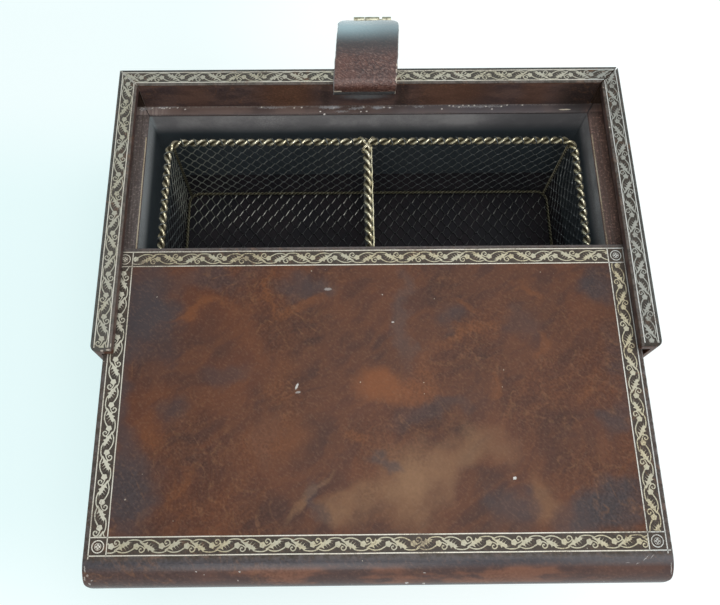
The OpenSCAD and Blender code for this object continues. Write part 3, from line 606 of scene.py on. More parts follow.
def hinge_brass():
    material, tree, shader = start_material("hinge_brass")
    place = places_in_mm(tree)
    stain = grain_noise(tree, place, 0.4, 5.0, 0.7)
    brushed = grain_noise(tree, turned(tree, place, 0, (12, 1, 1)), 3.0, 2.0)
    colour = mix(tree, soft(tree, stain, 0.42, 0.66), (0.52, 0.51, 0.38), (0.28, 0.26, 0.17))
    tree.links.new(colour, shader.inputs["Base Color"])
    shader.inputs["Metallic"].default_value = 0.85
    tree.links.new(soft(tree, stain, 0.3, 0.7, 0.32, 0.52), shader.inputs["Roughness"])
    bump(tree, shader, brushed, 0.015)
    return material


def nail_steel():
    material, tree, shader = start_material("nail_steel")
    rust = grain_noise(tree, places_in_mm(tree), 0.8, 5.0, 0.7)
    colour = mix(tree, soft(tree, rust, 0.45, 0.62), (0.42, 0.42, 0.42), (0.16, 0.07, 0.03))
    tree.links.new(colour, shader.inputs["Base Color"])
    tree.links.new(soft(tree, rust, 0.45, 0.62, 0.9, 0.2), shader.inputs["Metallic"])
    tree.links.new(soft(tree, rust, 0.4, 0.65, 0.35, 0.8), shader.inputs["Roughness"])
    bump(tree, shader, rust, 0.05)
    return material


LID_GOLD = gold_leaf("lid_gold", (0.46, 0.44, 0.34), (0.50, 0.44, 0.28), (0.15, 0.105, 0.07), 0.45,
                     (-104, -112, (0.62, 0.60, 0.49)))
# On the right the rim's scroll and the gold lines turn greyer, as painted reflection.
RIM_GOLD = gold_leaf("rim_gold", (0.49, 0.475, 0.395), (0.54, 0.505, 0.375), (0.11, 0.095, 0.075), 0.5,
                     (104, 112, GREY_SHEEN_GOLD))
LINE_GOLD = gold_leaf("line_gold", (0.76, 0.73, 0.64), (0.68, 0.63, 0.51), (0.26, 0.22, 0.18), 0.4,
                      (104, 112, (0.56, 0.57, 0.54)))
EDGE_GOLD = gold_leaf("edge_gold", (0.62, 0.56, 0.42), (0.60, 0.48, 0.32), (0.12, 0.09, 0.07), 0.35)
WIRE = wire_brass("wire_brass", (0.88, 0.83, 0.62), (0.78, 0.71, 0.47), 0.25)
DULL_WIRE = wire_brass("dull_wire_brass", (0.40, 0.39, 0.27), (0.30, 0.30, 0.21), 0.42)
NETTING, BRASS, STEEL = netting_wire(), hinge_brass(), nail_steel()
print("metal finishes:", [m.name for m in (LID_GOLD, RIM_GOLD, EDGE_GOLD, WIRE, DULL_WIRE, NETTING, BRASS)])

# %% [markdown]
# The plainer coverings: brown leather on the ledges with one rubbed line, a greyish lining in the
# well, a dark lining on its floor, cloth under the base and under the lid, and stained wood.

# %% Linings, ledges and wood
LEDGE_SPECKS = [(-55.5, 63.4), (-34.7, 63.0), (-38.5, 62.8), (-22.9, 58.9), (-117.6, 63.4), (-108.3, 63.6),
                (-105.9, 63.0), (-112, 63.3), (-103, 63.2), (-99, 63.4), (-95, 62.4), (-1, 60.4),
                (-118.3, 62.6), (-116.6, 62.9), (-117.4, 61.9), (-107.0, 63.2), (-104.6, 63.6),
                (-18, 62.6), (-2.5, 63.0), (8, 62.7), (11, 62.5), (-4, 60.2), (-25, 60.5),
                (38, 61.5), (42, 63.5), (44, 63.2), (47, 62.6), (49, 63.6), (52, 63.4), (55, 63.5),
                (61, 62.9), (64, 61.2), (69, 62.8), (72, 63.6), (80, 63.5)]


def ledge_leather():
    """Dusty brown with painted light and shade, greyer on the left, and a scuffed pale line where the ledge meets the
    back wall.
    """
    material, tree, shader = start_material("ledge_leather")
    place = places_in_mm(tree)
    cross = add(tree, "SeparateXYZ", {0: place}).outputs
    cloud = grain_noise(tree, place, 0.05, 4.0, 0.6)
    colour = mix(tree, soft(tree, cloud, 0.38, 0.62), (0.090, 0.062, 0.056), (0.165, 0.112, 0.094))
    at_side = soft(tree, cross[Y], rim_y / MM, well_y / MM, 0.2, 1.0)
    streaks = grain_noise(tree, turned(tree, place, 0, (1, 22, 1)), 1.3, 3.0, 0.6)
    # Painted light: the side ledges and the left end get lighter tones, greyer on the left and orange brown on the
    # right, where they face the light.
    left_light_tone = mix(tree, soft(tree, streaks, 0.40, 0.60), (0.35, 0.275, 0.245), (0.60, 0.51, 0.47))
    left_part = times(tree, soft(tree, cross[X], -100, -114), soft(tree, cross[Y], 68, 58, 0.5, 1.0))
    colour = mix(tree, times(tree, left_part, 0.7), colour, left_light_tone)
    right_light_tone = mix(tree, soft(tree, streaks, 0.40, 0.60), (0.50, 0.30, 0.24), (0.74, 0.44, 0.34))
    right_part = times(tree, soft(tree, cross[X], 109, 114), at_side)
    colour = mix(tree, times(tree, right_part, 0.9), colour, right_light_tone)
    # Painted shade over the right half of the back ledge.
    shaded = use_group(tree, SPOT, Place=drifted(tree, place, 0.1, 14.0), Centre=(56, 62, 70), Size=(58, 9, 60))["Mask"]
    colour = mix(tree, times(tree, shaded, 0.7), colour, (0.085, 0.088, 0.105))
    fray = grain_noise(tree, place, 0.8, 4.0, 0.7)
    back_line = times(tree, soft(tree, cross[Y], rim_y / MM - 1.5, rim_y / MM - 0.3), soft(tree, fray, 0.42, 0.6))
    colour = mix(tree, times(tree, back_line, 0.7), colour, (0.27, 0.24, 0.21))
    away = maths(tree, "ABSOLUTE", cross[X])
    specks = use_group(tree, DUST, Place=place, Spacing=9.0)["Specks"]
    colour = mix(tree, times(tree, specks, 0.4), colour, CREAM)
    seam_at = well_x / MM + 3.8
    inner_part = times(tree, soft(tree, away, seam_at, seam_at - 0.8), at_side)
    colour = mix(tree, times(tree, inner_part, 0.34), colour, (0.085, 0.060, 0.056))
    seam = soft(tree, maths(tree, "ABSOLUTE", maths(tree, "SUBTRACT", away, seam_at)), 0.45, 0.1)
    colour = mix(tree, times(tree, seam, soft(tree, streaks, 0.36, 0.54), at_side, 0.6), colour, (0.40, 0.33, 0.29))
    edge = well_y / MM
    front_line = times(tree, soft(tree, cross[Y], edge + 0.9, edge + 0.3), soft(tree, fray, 0.3, 0.5))
    colour = mix(tree, times(tree, front_line, 0.7), colour, (0.030, 0.022, 0.022))
    creases = [(-114.2, 60.4, 3.6, 0.22, -62, 1.0), (115.2, 61.6, 4.6, 0.4, 58, 1.0)]
    colour = add_spots(tree, drifted(tree, place, 0.8, 0.8), colour, creases, (0.012, 0.010, 0.010), 70, 0.4)
    scuffed = [(-20, 63.0, 6, 1.0, 0, 0.9), (-6, 62.3, 5, 0.8, 8, 0.8), (5, 62.8, 4, 0.6, 0, 0.8),
               (-14, 60.4, 4, 0.5, 0, 0.6), (-50, 63.0, 8, 0.5, 0, 0.6), (56, 62.8, 15, 0.6, 0, 0.6),
               (-114.5, 63.0, 3, 0.5, 0, 0.7), (-104, 64.0, 5, 0.6, 0, 0.6), (26, 63.0, 3, 0.5, 0, 0.7)]
    flaking = drifted(tree, place, 1.3, 3.2)
    colour = add_spots(tree, flaking, colour, scuffed, (0.34, 0.34, 0.345), 70, 0.5)
    dust = [(-117.2, 62.6, 1.9, 1.4, 0, 0.6), (-107.0, 63.4, 3.5, 0.7, 0, 0.5), (4.5, 62.4, 2.8, 1.0, 0, 0.7),
            (-18.0, 62.8, 3.2, 1.0, 0, 0.5), (11.0, 62.6, 2.0, 0.5, 0, 0.5)]
    colour = add_spots(tree, drifted(tree, place, 1.3, 1.2), colour, dust, (0.42, 0.44, 0.48), 70)
    crumbs = [(x, y, 0.5, 0.36, 20, 1.0) for x, y in LEDGE_SPECKS]
    colour = add_spots(tree, drifted(tree, place, 2.0, 0.5), colour, crumbs, (0.75, 0.72, 0.66), 70, 0.4)
    # Painted shade in the back right corner.
    corner = [(109, 61.5, 16, 6, 0, 0.85)]
    colour = add_spots(tree, drifted(tree, place, 0.15, 5.0), colour, corner, (0.030, 0.026, 0.028), 70)
    gilt_left = [(101.8, 60.6, 3.0, 0.35, 0, 1.0)]
    colour = add_spots(tree, drifted(tree, place, 1.3, 0.4), colour, gilt_left, (0.62, 0.56, 0.42), 70, 0.3)
    tree.links.new(colour, shader.inputs["Base Color"])
    tree.links.new(soft(tree, cloud, 0.3, 0.7, 0.38, 0.52), shader.inputs["Roughness"])
    bump(tree, shader, use_group(tree, GRAIN, Place=place, Cell=0.8)["Height"], 0.025)
    return material


# The dark blue grey deep in the well: partly a darker lower lining, partly painted shade.
DEEP_LINING_AND_SHADE = (0.050, 0.070, 0.082)


def lining(name, dark, light, cell, depth, gloss, fade=None):
    """Grained lining; where fade gives two heights in mm, it turns from the upper to a dark blue grey, partly painted
    shade.
    """
    material, tree, shader = start_material(name)
    place = places_in_mm(tree)
    cross = add(tree, "SeparateXYZ", {0: place}).outputs
    cloud = grain_noise(tree, place, 0.06, 4.0, 0.6)
    grain = use_group(tree, GRAIN, Place=place, Cell=cell)
    colour = mix(tree, soft(tree, cloud, 0.35, 0.65), dark, light)
    if fade:
        # Painted light: the left wall of the well gets a lighter blue grey, where light falls on it.
        left_wall = soft(tree, cross[X], -111.0, -112.8, 0.0, 0.7)
        colour = mix(tree, left_wall, colour, (0.50, 0.565, 0.59))
        # Painted shade at the right end of the back wall.
        right_back_shade = times(tree, soft(tree, cross[X], 48, 80), soft(tree, cross[Y], well_y / MM - 2, well_y / MM))
        colour = mix(tree, times(tree, right_back_shade, 0.6), colour, (0.090, 0.090, 0.100))
        # Darker towards the bottom, partly a darker lower lining and partly painted shade in the deep well.
        depth_mask = soft(tree, cross[Z], fade[0], fade[1])
        colour = mix(tree, times(tree, depth_mask, 0.97), colour, DEEP_LINING_AND_SHADE)
    colour = mix(tree, times(tree, grain["Pores"], 0.35), colour, tuple(c * 0.4 for c in dark))
    specks = use_group(tree, DUST, Place=place, Spacing=6.0)["Specks"]
    colour = mix(tree, times(tree, specks, 0.5), colour, (0.4, 0.37, 0.32))
    tree.links.new(colour, shader.inputs["Base Color"])
    tree.links.new(soft(tree, cloud, 0.3, 0.7, 0.6, 0.8), shader.inputs["Roughness"])
    shader.inputs["Specular IOR Level"].default_value = gloss
    bump(tree, shader, grain["Height"], depth)
    return material


def woven_cloth(name, warp_colour, weft_colour, thread):
    material, tree, shader = start_material(name)
    place = places_in_mm(tree)
    period = math.pi / thread
    cross = add(tree, "SeparateXYZ", {0: place})
    across = maths(tree, "SINE", maths(tree, "MULTIPLY", cross.outputs[0], period))
    along = maths(tree, "SINE", maths(tree, "MULTIPLY", cross.outputs[1], period))
    over = maths(tree, "MULTIPLY", across, along)
    fuzz = grain_noise(tree, place, 1.5, 4.0, 0.7)
    colour = mix(tree, soft(tree, over, -0.4, 0.4), warp_colour, weft_colour)
    colour = mix(tree, maths(tree, "MULTIPLY", fuzz, 0.4), colour, (0.02, 0.014, 0.01))
    tree.links.new(colour, shader.inputs["Base Color"])
    tree.links.new(soft(tree, fuzz, 0.3, 0.7, 0.8, 0.95), shader.inputs["Roughness"])
    shader.inputs["Sheen Weight"].default_value = 0.25
    bump(tree, shader, maths(tree, "ADD", over, fuzz), 0.1)
    return material


def stained_wood():
    """Plain wood, with painted shade nearly black in the lid's grooves."""
    material, tree, shader = start_material("stained_wood")
    place = places_in_mm(tree)
    height = add(tree, "SeparateXYZ", {0: place}).outputs[Z]
    fibres = grain_noise(tree, turned(tree, place, 0, (1, 14, 1)), 0.5, 4.0, 0.6, 0.4)
    rings = add(tree, "TexWave", {"Vector": turned(tree, place, 0, (1, 8, 1)), "Scale": 0.12,
                                  "Distortion": 3.0, "Detail": 3.0}).outputs["Fac"]
    colour = mix(tree, rings, (0.20, 0.11, 0.055), (0.31, 0.18, 0.09))
    colour = mix(tree, soft(tree, fibres, 0.5, 0.75), colour, (0.11, 0.055, 0.03))
    # Painted shade: the wood inside the grooves is painted nearly black.
    groove = soft(tree, height, ledge_top / MM - 1.0, ledge_top / MM)
    colour = mix(tree, times(tree, groove, 0.92), colour, (0.035, 0.02, 0.015))
    tree.links.new(colour, shader.inputs["Base Color"])
    tree.links.new(soft(tree, fibres, 0.3, 0.7, 0.5, 0.75), shader.inputs["Roughness"])
    bump(tree, shader, fibres, 0.15)
    return material


LEDGE = ledge_leather()
WELL = lining("well_lining", (0.290, 0.286, 0.292), (0.430, 0.422, 0.427), 0.7, 0.18, 0.4, (62.0, 52.0))
FLOOR_LINING = lining("floor_lining", (0.009, 0.009, 0.012), (0.019, 0.016, 0.019), 0.9, 0.1, 0.15)
BASE_CLOTH = woven_cloth("base_cloth", (0.055, 0.032, 0.024), (0.075, 0.046, 0.034), 0.5)
LID_CLOTH = woven_cloth("lid_cloth", (0.05, 0.03, 0.025), (0.07, 0.04, 0.03), 0.4)
WOOD = stained_wood()
print("materials so far:", len(bpy.data.materials))

# %% [markdown]
# Pieces of the frame whose shape is already right keep it and only get a finish. Where an edge needs
# rounding, a copy of the piece is cleaned first: doubled points are merged and flat faces joined, so
# that each edge is one edge again and can be picked by its place.

# %% Helpers for shaping


def select_only(*objects):
    bpy.ops.object.select_all(action="DESELECT")
    for piece in objects:
        piece.select_set(True)
    bpy.context.view_layer.objects.active = objects[0]


def edit(obj, mode="EDGE"):
    select_only(obj)
    bpy.ops.object.mode_set(mode="EDIT")
    bpy.ops.mesh.select_mode(type=mode)
    bpy.ops.mesh.select_all(action="SELECT")


def done():
    bpy.ops.object.mode_set(mode="OBJECT")


def copy_of(node, name):
    piece = bpy.data.objects.new(name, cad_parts[node].data.copy())
    bpy.context.scene.collection.objects.link(piece)
    edit(piece)
    bpy.ops.mesh.customdata_custom_splitnormals_clear()
    bpy.ops.mesh.remove_doubles(threshold=0.001 * MM)
    bpy.ops.mesh.dissolve_limited(angle_limit=math.radians(0.3))
    done()
    return piece


def round_edges(piece, radius, steps, places):
    """Rounds the edges that lie on two planes; each plane is an axis and a place along it."""
    edit(piece)
    bpy.ops.mesh.select_all(action="DESELECT")
    done()
    points = piece.data.vertices
    for edge in piece.data.edges:
        ends = [points[i].co for i in edge.vertices]
        edge.select = any(all(abs(end[axis] - place) < 0.02 * MM for end in ends for axis, place in pair)
                          for pair in places)
    found = sum(edge.select for edge in piece.data.edges)
    bpy.ops.object.mode_set(mode="EDIT")
    bpy.ops.mesh.bevel(offset=radius, segments=steps, profile=0.5, affect="EDGES")
    done()
    return found


def cut_across(piece, axis, places):
    """Adds an edge loop where each plane across the axis crosses the piece."""
    normal = [0, 0, 0]
    normal[axis] = 1
    edit(piece)
    for place in places:
        point = [0, 0, 0]
        point[axis] = place
        bpy.ops.mesh.select_all(action="SELECT")
        bpy.ops.mesh.bisect(plane_co=point, plane_no=normal)
    done()


def modify(piece, kind, **settings):
    select_only(piece)
    modifier = piece.modifiers.new("shape", kind)
    for key, value in settings.items():
        setattr(modifier, key, value)
    bpy.ops.object.modifier_apply(modifier=modifier.name)


def settle(piece, body, finish, nodes=(), angle=40):
    """Gives a finished piece its material, its smooth faces and its body, and hides the nodes it stands for."""
    select_only(piece)
    if finish:
        piece.data.materials.clear()
        piece.data.materials.append(finish)
    bpy.ops.object.shade_smooth_by_angle(angle=math.radians(angle))
    if body:
        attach(piece, body)
    if nodes:
        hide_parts(*nodes)
    return piece


def dress(finish, *nodes):
    for node in nodes:
        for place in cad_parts[node].material_slots:
            place.material = finish


dress(WOOD, "bottom_board", "left_wall", "right_wall", "back_wall", "front_wall", "lid_board", "nose_rail")
dress(STEEL, "bottom_nails", "corner_nails")
dress(BASE_CLOTH, "base_cover")
dress(LID_CLOTH, "lid_lining")
dress(WELL, "left_liner", "right_liner", "back_liner", "front_liner")
dress(FLOOR_LINING, "floor_lining")

# %% [markdown]
# The leather of the box is pasted round its walls and turned over the rim, so its outer edges are
# round to about its own thickness, and the edge of the lip over the groove is softer than a cut
# board. The mitres at the back corners stay sharp cuts, and the right one has opened.

# %% Leather of the walls and the rim
OUTER_R, LIP_R, CORNER_R = 1.0 * MM, 0.7 * MM, 3.0 * MM


def round_where(piece, radius, steps, chosen):
    """Rounds the sharp edges whose two ends both pass a test on their place."""
    edit(piece)
    bpy.ops.mesh.select_all(action="DESELECT")
    bpy.ops.mesh.edges_select_sharp(sharpness=math.radians(30))
    done()
    points = piece.data.vertices
    sharp = [edge.index for edge in piece.data.edges if edge.select]
    wanted = [k for k in sharp if all(chosen(points[i].co) for i in piece.data.edges[k].vertices)]
    edit(piece)
    bpy.ops.mesh.select_all(action="DESELECT")
    done()
    for k in wanted:
        piece.data.edges[k].select = True
    bpy.ops.object.mode_set(mode="EDIT")
    bpy.ops.mesh.bevel(offset=radius, segments=steps, profile=0.5, affect="EDGES")
    done()
    return len(wanted)


def on_outer_rim(point):
    """True along the rim's top outer edge, round the front corner too."""
    near = 0.02 * MM
    at_side, at_front = abs(point.x) > outside_x - near, point.y < front_y + near
    at_corner = abs(point.x) > outside_x - CORNER_R - near and point.y < front_y + CORNER_R + near
    return abs(point.z - rim_top) < near and (at_side or at_front or at_corner)


def side_leather(side, name):
    node = name + "_cover"
    piece = copy_of(node, name + "_leather")
    out, lip = side * outside_x, side * rim_x
    round_edges(piece, CORNER_R, 6, [((X, out), (Y, front_y))])
    print(name, "rim edges rounded:", round_where(piece, OUTER_R, 5, on_outer_rim))
    round_edges(piece, LIP_R, 4, [((X, lip), (Z, rim_top)), ((X, lip), (Y, front_y))])
    return settle(piece, "box", BOX_CALF, [node])


def back_leather():
    piece = copy_of("back_cover", "back_leather")
    round_edges(piece, OUTER_R, 5, [((Y, outside_y), (Z, rim_top))])
    round_edges(piece, LIP_R, 4, [((Y, rim_y), (Z, rim_top))])
    return settle(piece, "box", BOX_CALF, ["back_cover"])


def front_leather():
    piece = copy_of("front_cover", "front_leather")
    round_edges(piece, OUTER_R, 5, [((Y, front_y), (Z, ledge_top))])
    return settle(piece, "box", BOX_CALF, ["front_cover"])


for made in (side_leather(-1, "left"), side_leather(1, "right"), back_leather(), front_leather()):
    print(made.name, len(made.data.polygons), "faces")

# %% [markdown]
# The ledges inside the rim are the same pieces as in the frame with their inner edge rounded.

# %% Ledges
for node in ("left_runner", "right_runner", "back_ledge"):
    piece = copy_of(node, node + "_leather")
    low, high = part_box(node)
    inner = low.y if node == "back_ledge" else (low.x if low.x > 0 else high.x)
    axis = Y if node == "back_ledge" else X
    round_edges(piece, 0.4 * MM, 3, [((axis, inner), (Z, ledge_top))])
    settle(piece, "box", LEDGE, [node])
    print(piece.name, len(piece.data.polygons), "faces")

# %% [markdown]
# The lid is a board with a rounded front rail, covered by one skin. The frame has the skin in two
# pieces, so both get the same roundings where they meet. The front corners of the nose are then
# rounded in plan: points near each corner are drawn in to a small circle, as if sanded.

# %% Lid
EDGE_R = 0.9 * MM
NOSE_CORNER_R = 3.0 * MM


def lid_leather():
    piece = copy_of("lid_cover", "lid_leather")
    edges = [((Y, lid_high.y), (Z, lid_high.z)), ((Y, lid_high.y), (Z, lid_low.z))]
    for x in (lid_low.x, lid_high.x):
        edges += [((X, x), (Z, lid_high.z)), ((X, x), (Z, lid_low.z)), ((X, x), (Y, lid_high.y))]
    round_edges(piece, EDGE_R, 5, edges)
    return settle(piece, "lid", LID_CALF, ["lid_cover"])


def outer_outline(piece, x):
    """Edges of the nose's end outline at x, apart from the ones on the seam with the lid."""
    points = piece.data.vertices
    for edge in piece.data.edges:
        ends = [points[i].co for i in edge.vertices]
        on_end = all(abs(end.x - x) < 0.02 * MM for end in ends)
        on_seam = all(abs(end.y - nose_high.y) < 0.05 * MM for end in ends)
        if on_end and not on_seam:
            edge.select = True


def nose_leather():
    piece = copy_of("nose_cover", "nose_leather")
    edit(piece)
    bpy.ops.mesh.select_all(action="DESELECT")
    done()
    outer_outline(piece, nose_low.x)
    outer_outline(piece, nose_high.x)
    bpy.ops.object.mode_set(mode="EDIT")
    bpy.ops.mesh.bevel(offset=EDGE_R, segments=5, profile=0.5, affect="EDGES")
    done()
    steps = [k * 0.5 * MM for k in range(2, 9)]
    cut_across(piece, X, [nose_low.x + s for s in steps] + [nose_high.x - s for s in steps])
    for side, end in ((-1, nose_low.x), (1, nose_high.x)):
        corner = Vector((end - side * NOSE_CORNER_R, nose_low.y + NOSE_CORNER_R))
        for point in piece.data.vertices:
            away = Vector((point.co.x, point.co.y)) - corner
            past = away.x * side > 0 and away.y < 0
            if past and away.length > NOSE_CORNER_R:
                away.length = NOSE_CORNER_R
                point.co.x, point.co.y = corner + away
    return settle(piece, "lid", LID_CALF, ["nose_cover"])


for made in (lid_leather(), nose_leather()):
    print(made.name, len(made.data.polygons), "faces")

# %% [markdown]
# The border was pressed with a heated roll through gold leaf: a stem that winds from side to side,
# with a full leaf, a round bud and a curl in each half turn. It could be an image, but then it would
# blur close up. Here each stroke is a curve with its own thickness, drawn once as a flat solid
# a few hundredths of a millimetre thick. The unit is copied along the band, every second one
# mirrored, and the leaves are filled outlines.

# %% One half turn of the scroll
HALF_TURN = 10.2 * MM
FOIL = 0.035 * MM
STROKES = {
    "curl": [(1.0, -0.4, 0.17), (2.1, 0.0, 0.18), (3.0, 0.55, 0.2), (3.35, 1.3, 0.21), (2.85, 2.1, 0.2),
             (1.9, 2.3, 0.19), (1.35, 1.7, 0.18), (1.55, 1.0, 0.18), (2.2, 1.05, 0.26)],
    "outer_arc": [(6.4, 2.0, 0.14), (7.7, 2.35, 0.2), (9.4, 2.5, 0.19), (11.0, 2.35, 0.18), (12.6, 1.6, 0.22)],
    "inner_arc": [(2.2, -1.6, 0.14), (3.4, -2.15, 0.2), (5.1, -2.4, 0.2), (7.1, -2.05, 0.19),
                  (9.2, -0.9, 0.22)],
}
LEAF = [(1.4, -1.8), (2.4, -0.7), (3.2, 0.0), (3.5, 1.1), (4.2, 0.8), (5.0, 2.15), (5.5, 1.5),
        (6.7, 2.4), (7.1, 1.75), (8.9, 1.35), (7.2, 1.0), (8.4, -0.05), (6.5, 0.5), (7.4, -0.95),
        (5.5, 0.0), (6.3, -1.55), (4.5, -0.5), (4.8, -1.8), (3.2, -1.1)]
LEAF_TIPS = {3, 5, 7, 9, 11, 13, 15, 17}
BUD_PETALS, BUD_OUT, BUD_IN = 5, 1.32, 1.08
STROKE_ROUND = 1.2


def as_mesh(name, curve, flatten=1.0):
    piece = bpy.data.objects.new(name, curve)
    bpy.context.scene.collection.objects.link(piece)
    select_only(piece)
    bpy.ops.object.convert(target="MESH")
    piece = bpy.context.object
    piece.scale.z = flatten
    bpy.ops.object.transform_apply(location=False, rotation=False, scale=True)
    edit(piece)
    bpy.ops.mesh.remove_doubles(threshold=0.0005 * MM)
    bpy.ops.mesh.normals_make_consistent(inside=False)
    done()
    return piece


def filled_outline(name, points, sharp):
    curve = bpy.data.curves.new(name, "CURVE")
    curve.dimensions = "2D"
    curve.fill_mode = "BOTH"
    curve.extrude = FOIL
    curve.resolution_u = 3
    spline = curve.splines.new("BEZIER")
    spline.bezier_points.add(len(points) - 1)
    spline.use_cyclic_u = True
    for k, (point, (x, y)) in enumerate(zip(spline.bezier_points, points)):
        point.co = (x * MM, y * MM, 0)
        kind = "VECTOR" if k in sharp else "AUTO"
        point.handle_left_type = kind
        point.handle_right_type = kind
    return as_mesh(name, curve)


def stroke(name, points):
    """A tapered line; each point is x, y and half its width in mm."""
    curve = bpy.data.curves.new(name, "CURVE")
    curve.dimensions = "3D"
    curve.bevel_depth = MM
    curve.bevel_resolution = 0
    curve.resolution_u = 3
    curve.use_fill_caps = True
    spline = curve.splines.new("BEZIER")
    spline.bezier_points.add(len(points) - 1)
    widest = max(half for x, y, half in points)
    for point, (x, y, half) in zip(spline.bezier_points, points):
        point.co = (x * MM, y * MM, 0)
        point.radius = half * STROKE_ROUND
        point.handle_left_type = "AUTO"
        point.handle_right_type = "AUTO"
    return as_mesh(name, curve, FOIL / (widest * STROKE_ROUND * MM))


def bud_outline():
    points = []
    for k in range(2 * BUD_PETALS):
        angle = math.pi * k / BUD_PETALS
        reach = BUD_OUT if k % 2 == 0 else BUD_IN
        points.append((0.05 + reach * math.cos(angle), 0.05 + reach * math.sin(angle)))
    return points


def half_turn():
    parts = [stroke(name, points) for name, points in STROKES.items()]
    parts.append(filled_outline("leaf", LEAF, LEAF_TIPS))
    parts.append(filled_outline("bud", bud_outline(), set()))
    select_only(*parts)
    bpy.ops.object.join()
    unit = bpy.context.object
    unit.name = "scroll_unit"
    return unit


scroll_unit = half_turn()
print("half turn:", len(scroll_unit.data.polygons), "faces")

# %% [markdown]
# A run is as many half turns as its band needs, each a copy of the unit, every second one its mirror
# image. It is drawn along x from zero, turned and moved to its band, and cut off at the ends by a
# plane, square for the lid's corners and slanted at the rim's mitres.

# %% Runs of scroll and straight gold lines
LINE_HALF = 0.22 * MM
FOIL_LIFT = 0.02 * MM
LEAD_IN = 1.2


def write_place(piece):
    """Writes a piece's place, turn and size into its mesh."""
    select_only(piece)
    bpy.ops.object.transform_apply(location=True, rotation=True, scale=True)
    return piece


def place_on(piece, at, angle):
    piece.matrix_world = Matrix.Translation(at) @ Matrix.Rotation(angle, 4, "Z")
    return write_place(piece)


def keep_side(piece, point, normal):
    """Cuts a piece by a plane, throws away what lies on the normal's side and closes the cut."""
    edit(piece)
    bpy.ops.mesh.bisect(plane_co=point, plane_no=normal, clear_outer=True, use_fill=True)
    done()


def scroll_run(start, end, flip, shift):
    """Scroll from one point to another, moved on by a shift in mm; flip mirrors its first half turn."""
    along = end - start
    count = math.ceil(along.length / HALF_TURN) + 2
    copies = []
    for k in range(count):
        copy = scroll_unit.copy()
        copy.data = scroll_unit.data.copy()
        bpy.context.scene.collection.objects.link(copy)
        mirrored = -1 if (k % 2 == 0) == flip else 1
        at = Matrix.Translation(((k - LEAD_IN) * HALF_TURN + shift * MM, 0, 0))
        copy.matrix_world = at @ Matrix.Diagonal((1, mirrored, 1, 1))
        copies.append(copy)
    select_only(*copies)
    bpy.ops.object.transform_apply(location=True, rotation=True, scale=True)
    bpy.ops.object.join()
    run = bpy.context.object
    edit(run)
    bpy.ops.mesh.normals_make_consistent(inside=False)
    done()
    return place_on(run, start, math.atan2(along.y, along.x))


def gold_line(start, end, half=LINE_HALF):
    """A straight line of gold, as a thin strip that wanders a little."""
    along = end - start
    middle = (start + end) / 2
    bpy.ops.mesh.primitive_cube_add(size=1)
    line = bpy.context.object
    line.scale = (along.length, 2 * half, 2 * FOIL)
    bpy.ops.object.transform_apply(location=False, rotation=False, scale=True)
    steps = max(2, int(along.length / (6 * MM)))
    cut_across(line, X, [(k / steps - 0.5) * along.length for k in range(1, steps)])
    for point in line.data.vertices:
        wander = noise.noise(Vector((point.co.x * 60 + middle.x * 900, middle.y * 900, 0)))
        point.co.y += 0.09 * MM * wander
    line.data.materials.append(LINE_GOLD)
    return place_on(line, middle, math.atan2(along.y, along.x))


def join_all(parts, name):
    select_only(*parts)
    bpy.ops.object.join()
    joined = bpy.context.object
    joined.name = name
    return joined

# %% [markdown]
# On the lid the band runs all round, with a ringed square in each corner where the lines cross.

# %% Gold border of the lid
RING_R, INNER_RING_R, PETAL_R = 2.4 * MM, 1.3 * MM, 0.42 * MM
RUN_CLEAR = 0.35 * MM


def ring(at, radius, half):
    bpy.ops.mesh.primitive_torus_add(location=(0, 0, 0), major_radius=radius, minor_radius=half,
                                     major_segments=24, minor_segments=6)
    made = bpy.context.object
    made.scale.z = FOIL / half
    made.location = at
    return write_place(made)


def corner_flower(at):
    """Two rings round a small cross of four petals."""
    parts = [ring(at, RING_R, 0.2 * MM), ring(at, INNER_RING_R, 0.1 * MM)]
    for k in range(4):
        angle = k * math.pi / 2
        spot = at + Vector((math.cos(angle), math.sin(angle), 0)) * 0.65 * MM
        bpy.ops.mesh.primitive_uv_sphere_add(segments=10, ring_count=6, radius=PETAL_R)
        petal = bpy.context.object
        petal.scale.z = FOIL / PETAL_R
        petal.location = spot
        parts.append(write_place(petal))
    return parts


